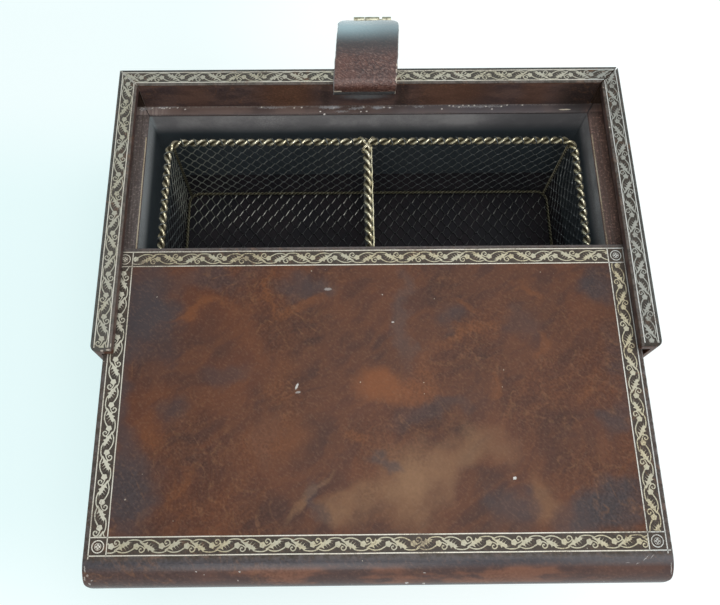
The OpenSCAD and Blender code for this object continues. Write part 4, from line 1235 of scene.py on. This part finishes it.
def lid_gilding():
    z = lid_high.z + FOIL_LIFT
    (x0, y0), (x1, y1) = line_low, line_high
    parts = []
    for x, past_front, past_back in ((x0, 1.2, 0.6), (x0 + BAND, 0.4, 0), (x1 - BAND, 0, 0), (x1, 1.2, 0.6)):
        parts.append(gold_line(Vector((x, y0 - past_front * MM, z)), Vector((x, y1 + past_back * MM, z))))
    for y, past_left, past_right in ((y0, 0.2, 1.4), (y0 + BAND, 0, 0), (y1 - BAND, 0, 0), (y1, 0.6, 0.6)):
        parts.append(gold_line(Vector((x0 - past_left * MM, y, z)), Vector((x1 + past_right * MM, y, z))))
    half = BAND / 2
    runs = [((x0 + BAND, y0 + half), (x1 - BAND, y0 + half), X, True, 3.8),
            ((x1 - half, y0 + BAND), (x1 - half, y1 - BAND), Y, False, -2.5),
            ((x1 - BAND, y1 - half), (x0 + BAND, y1 - half), X, False, -4.1),
            ((x0 + half, y1 - BAND), (x0 + half, y0 + BAND), Y, False, -4.7)]
    for start, end, axis, flip, shift in runs:
        run = scroll_run(Vector((*start, z)), Vector((*end, z)), flip, shift)
        run.data.materials.append(LID_GOLD)
        outwards = Vector((0, 0, 0))
        outwards[axis] = 1
        low, high = sorted((start, end), key=lambda place: place[axis])
        keep_side(run, Vector((*low, z)) + outwards * RUN_CLEAR, -outwards)
        keep_side(run, Vector((*high, z)) - outwards * RUN_CLEAR, outwards)
        parts.append(run)
    for x in (x0 + half, x1 - half):
        for y in (y0 + half, y1 - half):
            flower = corner_flower(Vector((x, y, z)))
            for piece in flower:
                piece.data.materials.append(LINE_GOLD)
            parts += flower
    return settle(join_all(parts, "lid_gilding"), "lid", None)


made = lid_gilding()
print(made.name, len(made.data.polygons), "faces")

# %% [markdown]
# On the rim the band follows three sides and is cut at the mitres, without corner squares.

# %% Gold border of the rim
MITRE_CLEAR = 0.25 * MM
RIM_END = 1.6 * MM


def rim_gilding():
    z = rim_top + FOIL_LIFT
    far = outside_y - RIM_LINE
    near = far - RIM_BAND
    middle = (far + near) / 2
    end_y = front_y + RIM_END
    back = [gold_line(Vector((-outside_x, y, z)), Vector((outside_x, y, z))) for y in (far, near)]
    back.append(scroll_run(Vector((outside_x, middle, z)), Vector((-outside_x, middle, z)), False, -4.1))
    back[-1].data.materials.append(RIM_GOLD)
    sides = {}
    for side in (-1, 1):
        out = side * (outside_x - RIM_LINE)
        inner = out - side * RIM_BAND
        lines = [gold_line(Vector((x, end_y, z)), Vector((x, outside_y, z))) for x in (out, inner)]
        ends = [Vector(((out + inner) / 2, y, z)) for y in (end_y, outside_y)]
        run = scroll_run(*ends, True, 2.9) if side > 0 else scroll_run(*reversed(ends), False, 0.5)
        run.data.materials.append(RIM_GOLD)
        keep_side(run, (0, end_y, 0), (0, -1, 0))
        sides[side] = lines + [run]
    for side in (-1, 1):
        corner = Vector((side * outside_x, outside_y, 0))
        outwards = Vector((side, -1, 0)).normalized()
        for piece in back:
            keep_side(piece, corner - outwards * MITRE_CLEAR, outwards)
        for piece in sides[side]:
            keep_side(piece, corner + outwards * MITRE_CLEAR, -outwards)
    return settle(join_all(back + sides[-1] + sides[1], "rim_gilding"), "box", None)


made = rim_gilding()
print(made.name, len(made.data.polygons), "faces")
bpy.data.objects.remove(scroll_unit)

# %% [markdown]
# The basket's wires are two strands twisted together. Two circles are swept by a Screw modifier into
# a straight cord along x, with as many whole turns as fit. Each point keeps its distance from the
# cord's middle as an attribute called crown, for the patina, and a Curve modifier then lays the cord
# along its path. A closed path is as long as its cord, so the ends meet and are merged.

# %% Twisted cords
PITCH, THIN_PITCH = 9.8 * MM, 4.6 * MM


def twisted_cord(name, length, diameter, pitch, sides=10, steps=16):
    strand = diameter / 4
    turns = max(1, round(length / pitch))
    circles = []
    for side in (-1, 1):
        bpy.ops.mesh.primitive_circle_add(vertices=sides, radius=strand, location=(side * strand, 0, 0))
        circles.append(bpy.context.object)
    cord = join_all(circles, name)
    bpy.ops.object.transform_apply(location=True, rotation=True, scale=True)
    modify(cord, "SCREW", axis="Z", angle=-2 * math.pi, screw_offset=length / turns, iterations=turns,
           steps=steps, render_steps=steps, use_merge_vertices=False)
    cord.rotation_euler = (0, math.pi / 2, 0)
    select_only(cord)
    bpy.ops.object.transform_apply(location=True, rotation=True, scale=True)
    low = min(point.co.x for point in cord.data.vertices)
    crown = cord.data.attributes.new("crown", "FLOAT", "POINT")
    for k, point in enumerate(cord.data.vertices):
        point.co.x -= low
        crown.data[k].value = min(1.0, math.hypot(point.co.y, point.co.z) / (diameter / 2))
    return cord


def rounded_loop(x0, x1, y0, y1, z, corner):
    """Points of a rounded rectangle, starting in the middle of its front side."""
    points = [((x0 + x1) / 2, y0, z)]
    centres = [(x1 - corner, y0 + corner, -90), (x1 - corner, y1 - corner, 0),
               (x0 + corner, y1 - corner, 90), (x0 + corner, y0 + corner, 180)]
    for x, y, first in centres:
        for k in range(13):
            angle = math.radians(first + 7.5 * k)
            points.append((x + corner * math.cos(angle), y + corner * math.sin(angle), z))
    return points


def path_length(points, closed):
    last = points[1:] + points[:1] if closed else points[1:]
    return sum((Vector(a) - Vector(b)).length for a, b in zip(points, last))


def lay_along(cord, points, closed):
    curve = bpy.data.curves.new("path", "CURVE")
    curve.dimensions = "3D"
    curve.twist_mode = "Z_UP"
    spline = curve.splines.new("POLY")
    spline.points.add(len(points) - 1)
    for point, place in zip(spline.points, points):
        point.co = (*place, 1)
    spline.use_cyclic_u = closed
    path = bpy.data.objects.new("path", curve)
    bpy.context.scene.collection.objects.link(path)
    modify(cord, "CURVE", object=path, deform_axis="POS_X")
    bpy.data.objects.remove(path)
    edit(cord)
    if closed:
        bpy.ops.mesh.remove_doubles(threshold=0.08 * MM)
    else:
        bpy.ops.mesh.fill_holes(sides=32)
    bpy.ops.mesh.normals_make_consistent(inside=False)
    done()
    return cord


def cord_along(name, points, diameter, pitch, closed=False):
    cord = twisted_cord(name, path_length(points, closed), diameter, pitch)
    return lay_along(cord, points, closed)


rim_low, rim_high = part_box("rim_wire")
wire_d = rim_high.z - rim_low.z
wire_z = (rim_high.z + rim_low.z) / 2
wire_r = wire_d / 2
rim_loop = rounded_loop(rim_low.x + wire_r, rim_high.x - wire_r, rim_low.y + wire_r, rim_high.y - wire_r,
                        wire_z, 6 * MM)
made = settle(cord_along("rim_cord", rim_loop, wire_d, PITCH, True), "box", WIRE, ["rim_wire"])
print(made.name, len(made.data.polygons), "faces")

# %% The other cords of the basket
THICKER = 0.9 * MM
low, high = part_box("divider_wire")
divider_x = (low.x + high.x) / 2
divider_r = (high.x - low.x) / 2
ends = [(divider_x, low.y, wire_z), (divider_x, high.y, wire_z)]
settle(cord_along("divider_cord", ends, 2 * divider_r + THICKER, PITCH), "box", WIRE,
       ["divider_wire"])
divider_low, divider_high = low, high

base_low, base_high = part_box("base_wire")
thin_r = (base_high.z - base_low.z) / 2
base_loop = rounded_loop(base_low.x + thin_r, base_high.x - thin_r, base_low.y + thin_r,
                         base_high.y - thin_r, base_low.z + thin_r, 6 * MM)
settle(cord_along("base_cord", base_loop, 2 * thin_r, THIN_PITCH, True), "box", DULL_WIRE,
       ["base_wire"])

corner_low, corner_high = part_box("corner_wires")
cords = []
for x in (corner_low.x + thin_r, corner_high.x - thin_r):
    for y in (corner_low.y + thin_r, corner_high.y - thin_r):
        ends = [(x, y, corner_low.z), (x, y, corner_high.z)]
        cord = cord_along("corner_cord", ends, 2 * thin_r, THIN_PITCH)
        cord.data.materials.append(DULL_WIRE if x < 0 else WIRE)
        cords.append(cord)
settle(join_all(cords, "corner_cords"), "box", None, ["corner_wires"])
print("cords of the basket:", 3 + len(cords))

# %% [markdown]
# The edge wire of the divider's net runs beside its cord on the right, nearly straight, and shines.

# %% Edge wire of the divider
EDGE_WIRE_R = 0.42 * MM


def wavy_wire(name, start, end, radius):
    """A thin wire from one place to another along y, swaying a little."""
    curve = bpy.data.curves.new(name, "CURVE")
    curve.dimensions = "3D"
    curve.bevel_depth = radius
    curve.bevel_resolution = 2
    curve.use_fill_caps = True
    spline = curve.splines.new("POLY")
    count = 60
    spline.points.add(count - 1)
    for k, point in enumerate(spline.points):
        place = start.lerp(end, k / (count - 1))
        sway = 0.35 * MM * noise.noise(Vector((0, place.y * 260, 0)))
        point.co = (place.x + sway, place.y, place.z + sway * 0.5, 1)
    wire = bpy.data.objects.new(name, curve)
    bpy.context.scene.collection.objects.link(wire)
    select_only(wire)
    bpy.ops.object.convert(target="MESH")
    crown = wire.data.attributes.new("crown", "FLOAT", "POINT")
    crown.data.foreach_set("value", [0.9] * len(wire.data.vertices))
    return wire


beside = Vector((divider_x + divider_r + 0.55 * MM, 0, wire_z + 0.5 * MM))
edge_wire = wavy_wire("divider_edge_wire", beside + Vector((0, divider_low.y + 1.5 * MM, 0)),
                      beside + Vector((0, divider_high.y - 1.5 * MM, 0)), EDGE_WIRE_R)
settle(edge_wire, "box", WIRE, [], 60)
print(edge_wire.name, len(edge_wire.data.polygons), "faces")

# %% [markdown]
# Thin wire ties the divider to the rim: two turns on the rim on each side, two on the divider.

# %% Bindings
BINDING_D = 0.55 * MM


def coil(at, along_y, turns, inner_r, lean=0):
    """A few turns of thin wire round x, or round y, centred on a place and leaning by some degrees."""
    step = BINDING_D * 1.25
    reach = (inner_r + 0.1 * MM + BINDING_D / 2) / math.cos(math.radians(lean)) ** 0.5
    bpy.ops.mesh.primitive_circle_add(vertices=8, radius=BINDING_D / 2, location=(reach, 0, 0),
                                      rotation=(math.pi / 2, 0, 0))
    wire = bpy.context.object
    bpy.ops.object.transform_apply(location=True, rotation=True, scale=True)
    modify(wire, "SCREW", axis="Z", angle=2 * math.pi, screw_offset=step, iterations=turns, steps=24,
           render_steps=24, use_merge_vertices=False)
    crown = wire.data.attributes.new("crown", "FLOAT", "POINT")
    crown.data.foreach_set("value", [0.85] * len(wire.data.vertices))
    edit(wire)
    bpy.ops.mesh.fill_holes(sides=16)
    bpy.ops.mesh.normals_make_consistent(inside=False)
    done()
    lay = Matrix.Rotation(math.pi / 2, 4, "X" if along_y else "Y")
    tilt = Matrix.Rotation(math.radians(lean), 4, "Z")
    wire.matrix_world = Matrix.Translation(at) @ tilt @ lay @ Matrix.Translation((0, 0, -turns * step / 2))
    return write_place(wire)


coils = []
for end, y in ((-1, rim_low.y + wire_r), (1, rim_high.y - wire_r)):
    for side in (-1, 1):
        coils.append(coil(Vector((divider_x + side * 2.2 * MM, y, wire_z)), False, 2, wire_r, side * -38))
    coils.append(coil(Vector((divider_x, y - end * 4.2 * MM, wire_z)), True, 2, divider_r + THICKER / 2, 30))
settle(join_all(coils, "bindings"), "box", WIRE, ["binding_wires"])
print("bindings:", len(coils), "coils")

# %% [markdown]
# Hexagonal netting is not a sheet with holes: each wire zigzags along its own row and twists with its
# neighbour at every short edge. So one wire is drawn as a curve, with its twists, and copied row by
# row, each row half a cell further along. Every panel is fitted with whole rows and half cells.

# %% Netting
CELL_LONG, CELL_ROW = 6.7 * MM, 3.85 * MM
TWIST_LONG, TWIST_R, NET_WIRE_R = 1.3 * MM, 0.21 * MM, 0.23 * MM


def zigzag(count, long, row):
    """Points of one net wire along x, of a number of half cells, rising by a row and back."""
    points = []
    for k in range(count + 1):
        high = k % 2
        x0 = k * long / 2 - TWIST_LONG / 2
        for step in range(5):
            angle = math.pi * high + 2 * math.pi * step / 4
            points.append((x0 + TWIST_LONG * step / 4, high * row + TWIST_R * math.cos(angle),
                           TWIST_R * math.sin(angle)))
    return points


def mark_rise(wire, long, shift):
    """Marks the stretches of a wire that rise from its lower to its upper line."""
    rise = wire.data.attributes.new("rise", "FLOAT", "POINT")
    for k, point in enumerate(wire.data.vertices):
        phase = (point.co.x / long - shift / 2) % 1
        rise.data[k].value = 1.0 if 0.06 < phase < 0.44 else 0.0


def net_panel(name, wide, tall):
    """A net in the xy plane from the origin, with its wires along x."""
    halves = round(wide / (CELL_LONG / 2))
    rows = round(tall / CELL_ROW)
    long, row = 2 * wide / halves, tall / rows
    wires = []
    for k in range(rows):
        shift = k % 2
        points = zigzag(halves - shift, long, row)
        curve = bpy.data.curves.new(name, "CURVE")
        curve.dimensions = "3D"
        curve.bevel_depth = NET_WIRE_R
        curve.bevel_resolution = 1
        curve.use_fill_caps = True
        spline = curve.splines.new("POLY")
        spline.points.add(len(points) - 1)
        for point, (x, y, z) in zip(spline.points, points):
            point.co = (x + shift * long / 2, y + k * row, z, 1)
        wire = bpy.data.objects.new(name, curve)
        bpy.context.scene.collection.objects.link(wire)
        wires.append(wire)
    select_only(*wires)
    bpy.ops.object.convert(target="MESH")
    for k, wire in enumerate(wires):
        mark_rise(wire, long, k % 2)
    return join_all(wires, name)


def hang_net(net, to_world, normal, loose):
    """Puts a net in its place and lets its middle wave a little along its normal."""
    net.matrix_world = to_world
    write_place(net)
    for point in net.data.vertices:
        point.co += normal * loose * noise.noise(point.co * 45)
    return net


UPRIGHT_X = Matrix.Rotation(math.pi / 2, 4, "X")
UPRIGHT_Y = Matrix.Rotation(math.pi / 2, 4, "Z") @ UPRIGHT_X
net_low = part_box("back_net")[0].z
net_top = wire_z - wire_r
basket_x0, basket_x1 = rim_low.x + wire_r, rim_high.x - wire_r
basket_y0, basket_y1 = rim_low.y + wire_r, rim_high.y - wire_r


def wall_net(node, upright, at, wide, normal):
    net = net_panel(node + "_wires", wide, net_top - net_low)
    hang_net(net, Matrix.Translation(at) @ upright, normal, 0.7 * MM)
    return settle(net, "box", NETTING, [node], 60)


wide_x, wide_y = basket_x1 - basket_x0, basket_y1 - basket_y0
made = [
    wall_net("back_net", UPRIGHT_X, (basket_x0, basket_y1, net_low), wide_x, Vector((0, 1, 0))),
    wall_net("front_net", UPRIGHT_X, (basket_x0, basket_y0, net_low), wide_x, Vector((0, 1, 0))),
    wall_net("left_net", UPRIGHT_Y, (basket_x0, basket_y0, net_low), wide_y, Vector((1, 0, 0))),
    wall_net("right_net", UPRIGHT_Y, (basket_x1, basket_y0, net_low), wide_y, Vector((1, 0, 0))),
    wall_net("divider_net", UPRIGHT_Y, (divider_x, basket_y0, net_low), wide_y, Vector((1, 0, 0))),
]
floor_low, floor_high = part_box("floor_net")
floor = net_panel("floor_net_wires", wide_x, wide_y)
hang_net(floor, Matrix.Translation((basket_x0, basket_y0, (floor_low.z + floor_high.z) / 2)),
         Vector((0, 0, 1)), 0.25 * MM)
made.append(settle(floor, "box", NETTING, ["floor_net"], 60))
for net in made:
    print(net.name, len(net.data.polygons), "faces")

# %% [markdown]
# At the top each net wire is wound once round the cord that carries it. One slanted ring of wire is
# made, and copied at every cell along the rim.

# %% Ends of the net wires round the cords
TIE_SLANT = math.radians(24)


def net_tie(at, radius, along_y):
    bpy.ops.mesh.primitive_torus_add(major_radius=radius + 0.25 * MM, minor_radius=0.3 * MM,
                                     major_segments=14, minor_segments=5)
    tie = bpy.context.object
    upright = UPRIGHT_X if along_y else UPRIGHT_Y
    tie.matrix_world = Matrix.Translation(at) @ Matrix.Rotation(TIE_SLANT, 4, "Z") @ upright
    return write_place(tie)


def net_ties():
    ties = []
    rows = [(Vector((x, basket_y0, wire_z)), Vector((x, basket_y1, wire_z))) for x in (basket_x0, basket_x1)]
    rows += [(Vector((basket_x0, y, wire_z)), Vector((basket_x1, y, wire_z))) for y in (basket_y0, basket_y1)]
    for start, end in rows:
        along = end - start
        count = int(along.length / CELL_LONG)
        for k in range(1, count):
            wobble = 0.9 * MM * noise.noise(Vector((start.x * 500 + k * 3.7, start.y * 500, 0)))
            at = start + along * (k / count) + along.normalized() * wobble
            ties.append(net_tie(at, wire_r, along.x < along.y))
    return settle(join_all(ties, "net_ties"), "box", NETTING, [], 60)


made = net_ties()
print(made.name, len(made.data.polygons), "faces")

# %% [markdown]
# The strap is one strip to the eye: glued upright inside the back wall, over the rim, level, and then
# bent down to its brass hinge. It starts as a flat bar with round end corners and soft edges, is cut
# into short lengths, and each point is then carried onto the strap's path, which is made of two
# straight lengths and two arcs.

# %% Strap
root_low, root_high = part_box("strap_root")
face_low, face_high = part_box("strap_face")
STRAP_T = root_high.y - root_low.y
STRAP_W = root_high.x - root_low.x
STRAP_MID = (root_low.x + root_high.x) / 2
STRAP_LEAN = face_high.x - root_high.x
FOLD_R = 2.3 * MM
BEND_R, BEND = 36 * MM, math.radians(35)
END_R = 5 * MM
SKIVED_T, SKIVED_TO = 0.9 * MM, 4.9 * MM
fold_y = (root_low.y + root_high.y) / 2
fold_z = face_high.z - STRAP_T / 2
LEVEL_END = 85.2 * MM
END_Y = LEVEL_END + BEND_R * math.sin(BEND)
rise = fold_z - FOLD_R - root_low.z
level = LEVEL_END - fold_y - FOLD_R
STRAP_LENGTH = rise + FOLD_R * math.pi / 2 + level + BEND_R * BEND


def strap_path(s):
    """Place (y, z) and direction angle of the strap's middle at a distance along it."""
    if s < rise:
        return fold_y, root_low.z + s, math.pi / 2
    s -= rise
    turn = FOLD_R * math.pi / 2
    if s < turn:
        a = s / FOLD_R
        return fold_y + FOLD_R * (1 - math.cos(a)), fold_z - FOLD_R * (1 - math.sin(a)), math.pi / 2 - a
    s -= turn
    if s < level:
        return fold_y + FOLD_R + s, fold_z, 0.0
    a = (s - level) / BEND_R
    return LEVEL_END + BEND_R * math.sin(a), fold_z - BEND_R * (1 - math.cos(a)), -a


def strap_leather():
    """Pebbled brown, glossy and dark on the bend, grey where the root was pared thin."""
    material, tree, shader = start_material("strap_leather")
    place = places_in_mm(tree)
    cross = add(tree, "SeparateXYZ", {0: place}).outputs
    cloud = grain_noise(tree, place, 0.12, 4.0, 0.6)
    fray = grain_noise(tree, place, 0.7, 4.0, 0.7)
    grain = use_group(tree, GRAIN, Place=turned(tree, place, -42, (2.4, 1, 1)), Cell=0.8)
    colour = mix(tree, soft(tree, cloud, 0.35, 0.65), (0.082, 0.034, 0.027), (0.130, 0.052, 0.038))
    colour = mix(tree, times(tree, grain["Pores"], 0.5), colour, (0.030, 0.017, 0.016))
    slant = maths(tree, "MULTIPLY", maths(tree, "SUBTRACT", cross[X], STRAP_MID / MM), 0.9)
    swung = add(tree, "CombineXYZ", {"X": slant, "Y": cross[Y], "Z": cross[Z]}).outputs[0]
    pale = grain_noise(tree, turned(tree, drifted(tree, swung, 0.15, 6.0), -40, (2.2, 1, 1)), 1.5, 2.5, 0.55)
    colour = mix(tree, times(tree, soft(tree, pale, 0.50, 0.68), 0.6), colour, (0.30, 0.178, 0.138))
    colour = mix(tree, times(tree, soft(tree, pale, 0.46, 0.30), 0.75), colour, (0.040, 0.020, 0.018))
    bend = soft(tree, cross[Y], 76.0, 86.0)
    colour = mix(tree, times(tree, bend, 0.72), colour, (0.048, 0.048, 0.050))
    sheen = times(tree, soft(tree, cross[Y], 85.0, 99.0), soft(tree, cross[X], 14.0, -12.0, 0.55, 1.0))
    colour = mix(tree, times(tree, sheen, 0.8), colour, (0.390, 0.550, 0.590))
    edge = add(tree, "Attribute", attribute_name="edge").outputs["Fac"]
    colour = mix(tree, times(tree, edge, soft(tree, fray, 0.35, 0.6), 0.6), colour, (0.16, 0.14, 0.13))
    pared = soft(tree, cross[Z], 85.0, 84.7)
    colour = mix(tree, times(tree, pared, 0.95), colour, (0.085, 0.095, 0.10))
    dark_end = soft(tree, cross[Z], 81.8, 80.4)
    colour = mix(tree, times(tree, dark_end, 0.6), colour, (0.04, 0.036, 0.036))
    step = maths(tree, "ABSOLUTE", maths(tree, "SUBTRACT", cross[Z], 84.9))
    colour = mix(tree, times(tree, soft(tree, step, 0.4, 0.1), soft(tree, fray, 0.45, 0.6), 0.5), colour, CREAM)
    frayed = drifted(tree, place, 1.1, 1.0)
    left, right = root_low.x / MM, root_high.x / MM
    tear = maths(tree, "ABSOLUTE", maths(tree, "SUBTRACT", cross[Z], 85.5))
    torn = times(tree, soft(tree, tear, 0.55, 0.35), soft(tree, cross[X], left + 4.6, left + 3.8))
    colour = mix(tree, torn, colour, CREAM)
    cut_side = times(tree, soft(tree, cross[X], left + 0.7, left + 0.2), soft(tree, cross[Y], 80.0, 70.0))
    colour = mix(tree, times(tree, cut_side, 0.7), colour, (0.32, 0.31, 0.31))
    colour = add_spots(tree, frayed, colour, [(right, 64.5, 0.6, 1.6, 0, 0.9), (right + 0.2, 69.5, 0.5, 1.2, 0, 0.8),
                                             (right + 0.4, 73.0, 0.4, 0.8, 0, 0.8)], CREAM, 90, 0.3)
    tree.links.new(colour, shader.inputs["Base Color"])
    tree.links.new(soft(tree, bend, 0.0, 1.0, 0.40, 0.24), shader.inputs["Roughness"])
    tree.links.new(bend, shader.inputs["Coat Weight"])
    shader.inputs["Coat Roughness"].default_value = 0.22
    shader.inputs["Specular IOR Level"].default_value = 0.7
    bump(tree, shader, times(tree, grain["Height"], soft(tree, bend, 0.0, 1.0, 1.0, 0.35)), 0.6)
    return material


def strap():
    bpy.ops.mesh.primitive_cube_add(size=1, location=(0, STRAP_LENGTH / 2, 0))
    piece = bpy.context.object
    piece.name = "strap"
    piece.scale = (STRAP_W, STRAP_LENGTH, STRAP_T)
    bpy.ops.object.transform_apply(location=True, rotation=True, scale=True)
    half_w, half_t = STRAP_W / 2, STRAP_T / 2
    round_edges(piece, END_R, 8, [((X, side * half_w), (Y, STRAP_LENGTH)) for side in (-1, 1)])
    edit(piece)
    bpy.ops.mesh.select_all(action="DESELECT")
    done()
    points = piece.data.vertices
    for edge in piece.data.edges:
        ends = [points[i].co for i in edge.vertices]
        flat = all(abs(abs(end.z) - half_t) < 0.01 * MM for end in ends)
        edge.select = flat and ends[0].z * ends[1].z > 0
    bpy.ops.object.mode_set(mode="EDIT")
    bpy.ops.mesh.bevel(offset=0.6 * MM, segments=3, profile=0.5, affect="EDGES")
    done()
    cuts = [rise - 1.2 * MM + k * 0.4 * MM for k in range(15)]
    cuts += [k * 1.5 * MM for k in range(1, 35) if not cuts[0] < k * 1.5 * MM < cuts[-1]]
    cuts += [SKIVED_TO - 0.15 * MM, SKIVED_TO + 0.1 * MM]
    cut_across(piece, Y, sorted(cuts))
    cut_across(piece, X, [k * 1.5 * MM for k in range(-10, 11)])
    edge = piece.data.attributes.new("edge", "FLOAT", "POINT")
    for k, point in enumerate(piece.data.vertices):
        edge.data[k].value = 1.0 if abs(point.co.x) > half_w - 0.7 * MM else 0.0
    for point in piece.data.vertices:
        across, s, t = point.co
        if s < SKIVED_TO:
            t = (t + half_t) * SKIVED_T / STRAP_T - half_t
            s += 0.5 * MM * noise.noise(Vector((across * 300, 2, 0))) * (1 - s / SKIVED_TO)
        y, z, angle = strap_path(s)
        wave = 0.18 * MM * noise.noise(Vector((across * 90, s * 90, 0)))
        ragged = 0.3 * MM * noise.noise(Vector((across, s * 300, 5))) * (abs(across) / half_w) ** 6
        t += wave
        lean = STRAP_LEAN * min(1.0, max(0.0, y - fold_y) / (END_Y - END_R - fold_y))
        point.co = (STRAP_MID + across + ragged + lean, y - math.sin(angle) * t, z + math.cos(angle) * t)
    edit(piece)
    bpy.ops.mesh.normals_make_consistent(inside=False)
    done()
    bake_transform(piece)
    return settle(piece, None, strap_leather(),
                  ["strap_root", "strap_face", "strap_core", "strap_back"], 45)


made = strap()
print(made.name, len(made.data.polygons), "faces")

# %% [markdown]
# The hinge's leaf, pin and plate keep the frame's shape, with the sharp edges of the plate eased.

# %% Brass hinge
for node, body in (("hinge_leaf", "strap"), ("hinge_pin", "strap"), ("hasp_plate", "hasp")):
    piece = copy_of(node, node + "_brass")
    modify(piece, "BEVEL", width=0.12 * MM, segments=2, limit_method="ANGLE",
           angle_limit=math.radians(50), harden_normals=False)
    settle(piece, body, BRASS, [node], 30)

# %% [markdown]
# A worn gilt line follows the inner edge of the ledges, as a narrow raised bead of gold.

# %% Gilt edge of the ledges
GILT_INSET, GILT_SHORT = 0.55 * MM, 13 * MM


def gilt_edges():
    z = ledge_top + FOIL_LIFT
    lines = []
    for side in (-1, 1):
        x = side * (well_x + GILT_INSET)
        lines.append(gold_line(Vector((x, front_y + 10 * MM, z)), Vector((x, well_y - GILT_SHORT, z)), 0.28 * MM))
    return settle(join_all(lines, "ledge_gilding"), "box", EDGE_GOLD)


print(gilt_edges().name)

# %% [markdown]
# The stage is a pale floor, with a large soft light behind and above as from a window, a weaker one
# in front, and a pale world. Together they light a level surface at about its own colour.

# %% Floor, lights and world
LEFT_GLOW, RIGHT_GLOW = (0.53, 0.69, 0.69), (0.76, 0.82, 0.82)
BACK_GLOW = (0.61, 0.72, 0.72)
FRONT_GLOW = (0.80, 0.86, 0.86)
SHADOW_PART = (0.32, 0.32, 0.32)


def seen_directly(tree):
    """1 for rays that show the stage itself: from the camera, through clear things or off shiny ones."""
    path = add(tree, "LightPath").outputs
    direct = maths(tree, "MAXIMUM", path["Is Camera Ray"], path["Is Transmission Ray"])
    return maths(tree, "MAXIMUM", direct, path["Is Glossy Ray"])


def pale_floor():
    """Pale to the eye, but it lights the object only as a plain floor does and keeps its shadow."""
    bpy.ops.mesh.primitive_plane_add(size=8, location=(0, 0, -0.0005))
    floor = bpy.context.object
    floor.name = "floor"
    material, tree, shader = start_material("floor")
    cross = add(tree, "SeparateXYZ", {0: places_in_mm(tree)}).outputs
    direct = seen_directly(tree)
    glow = mix(tree, soft(tree, cross[X], -160, 150), LEFT_GLOW, RIGHT_GLOW)
    glow = mix(tree, soft(tree, cross[Y], -120, -240, 0.0, 0.75), glow, FRONT_GLOW)
    behind = mix(tree, soft(tree, cross[X], -130, 10), BACK_GLOW, RIGHT_GLOW)
    glow = mix(tree, soft(tree, cross[Y], 40, 130), glow, behind)
    tree.links.new(mix(tree, direct, (0.80, 0.82, 0.83), SHADOW_PART), shader.inputs["Base Color"])
    tree.links.new(mix(tree, direct, (0.0, 0.0, 0.0), glow), shader.inputs["Emission Color"])
    shader.inputs["Emission Strength"].default_value = 1.0
    shader.inputs["Specular IOR Level"].default_value = 0.0
    shader.inputs["Roughness"].default_value = 0.9
    floor.data.materials.append(material)
    floor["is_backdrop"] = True


def soft_light(name, at, target, size, power):
    bpy.ops.object.light_add(type="AREA", location=at)
    lamp = bpy.context.object
    lamp.name = name
    lamp.data.shape = "RECTANGLE"
    lamp.data.size, lamp.data.size_y = size
    lamp.data.energy = power
    lamp.rotation_euler = (Vector(target) - Vector(at)).to_track_quat("-Z", "Y").to_euler()


def pale_world():
    """A plain room: brighter near the horizon, and a little blue towards the back left."""
    world = bpy.data.worlds.new("pale_room")
    bpy.context.scene.world = world
    world.use_nodes = True
    tree = world.node_tree
    tree.nodes.clear()
    way = add(tree, "SeparateXYZ", {0: add(tree, "TexCoord").outputs["Generated"]}).outputs
    low = soft(tree, maths(tree, "ABSOLUTE", way[Z]), 0.6, 0.05)
    strength = maths(tree, "ADD", 0.38, times(tree, low, 0.55))
    behind = soft(tree, maths(tree, "SUBTRACT", way[Y], times(tree, way[X], 0.5)), 0.0, 0.9)
    tint = mix(tree, behind, (1.0, 1.0, 1.0), (0.72, 0.92, 1.0))
    light = add(tree, "Background", {"Color": tint, "Strength": strength})
    path = add(tree, "LightPath").outputs
    direct = maths(tree, "MAXIMUM", path["Is Camera Ray"], path["Is Transmission Ray"])
    white = add(tree, "Background", {"Color": (0.95, 0.98, 1.0, 1), "Strength": 0.98})
    both = add(tree, "MixShader", {0: direct, 1: light.outputs[0], 2: white.outputs[0]})
    output = tree.nodes.new("ShaderNodeOutputWorld")
    tree.links.new(both.outputs[0], output.inputs[0])


pale_floor()
soft_light("overhead", (0.25, 0.15, 1.25), (0, -0.03, 0.05), (1.0, 1.0), 7.2)
soft_light("front", (-0.10, -0.75, 1.10), (0, 0, 0.05), (0.5, 0.5), 3.3)
pale_world()
bpy.context.scene.view_settings.view_transform = "Standard"

# %% [markdown]
# Last, the size of the dressed box is printed.

# %% Sizes
low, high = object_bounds()
print("visual box, mm:", [round(c / MM, 1) for c in (*low, *high)])
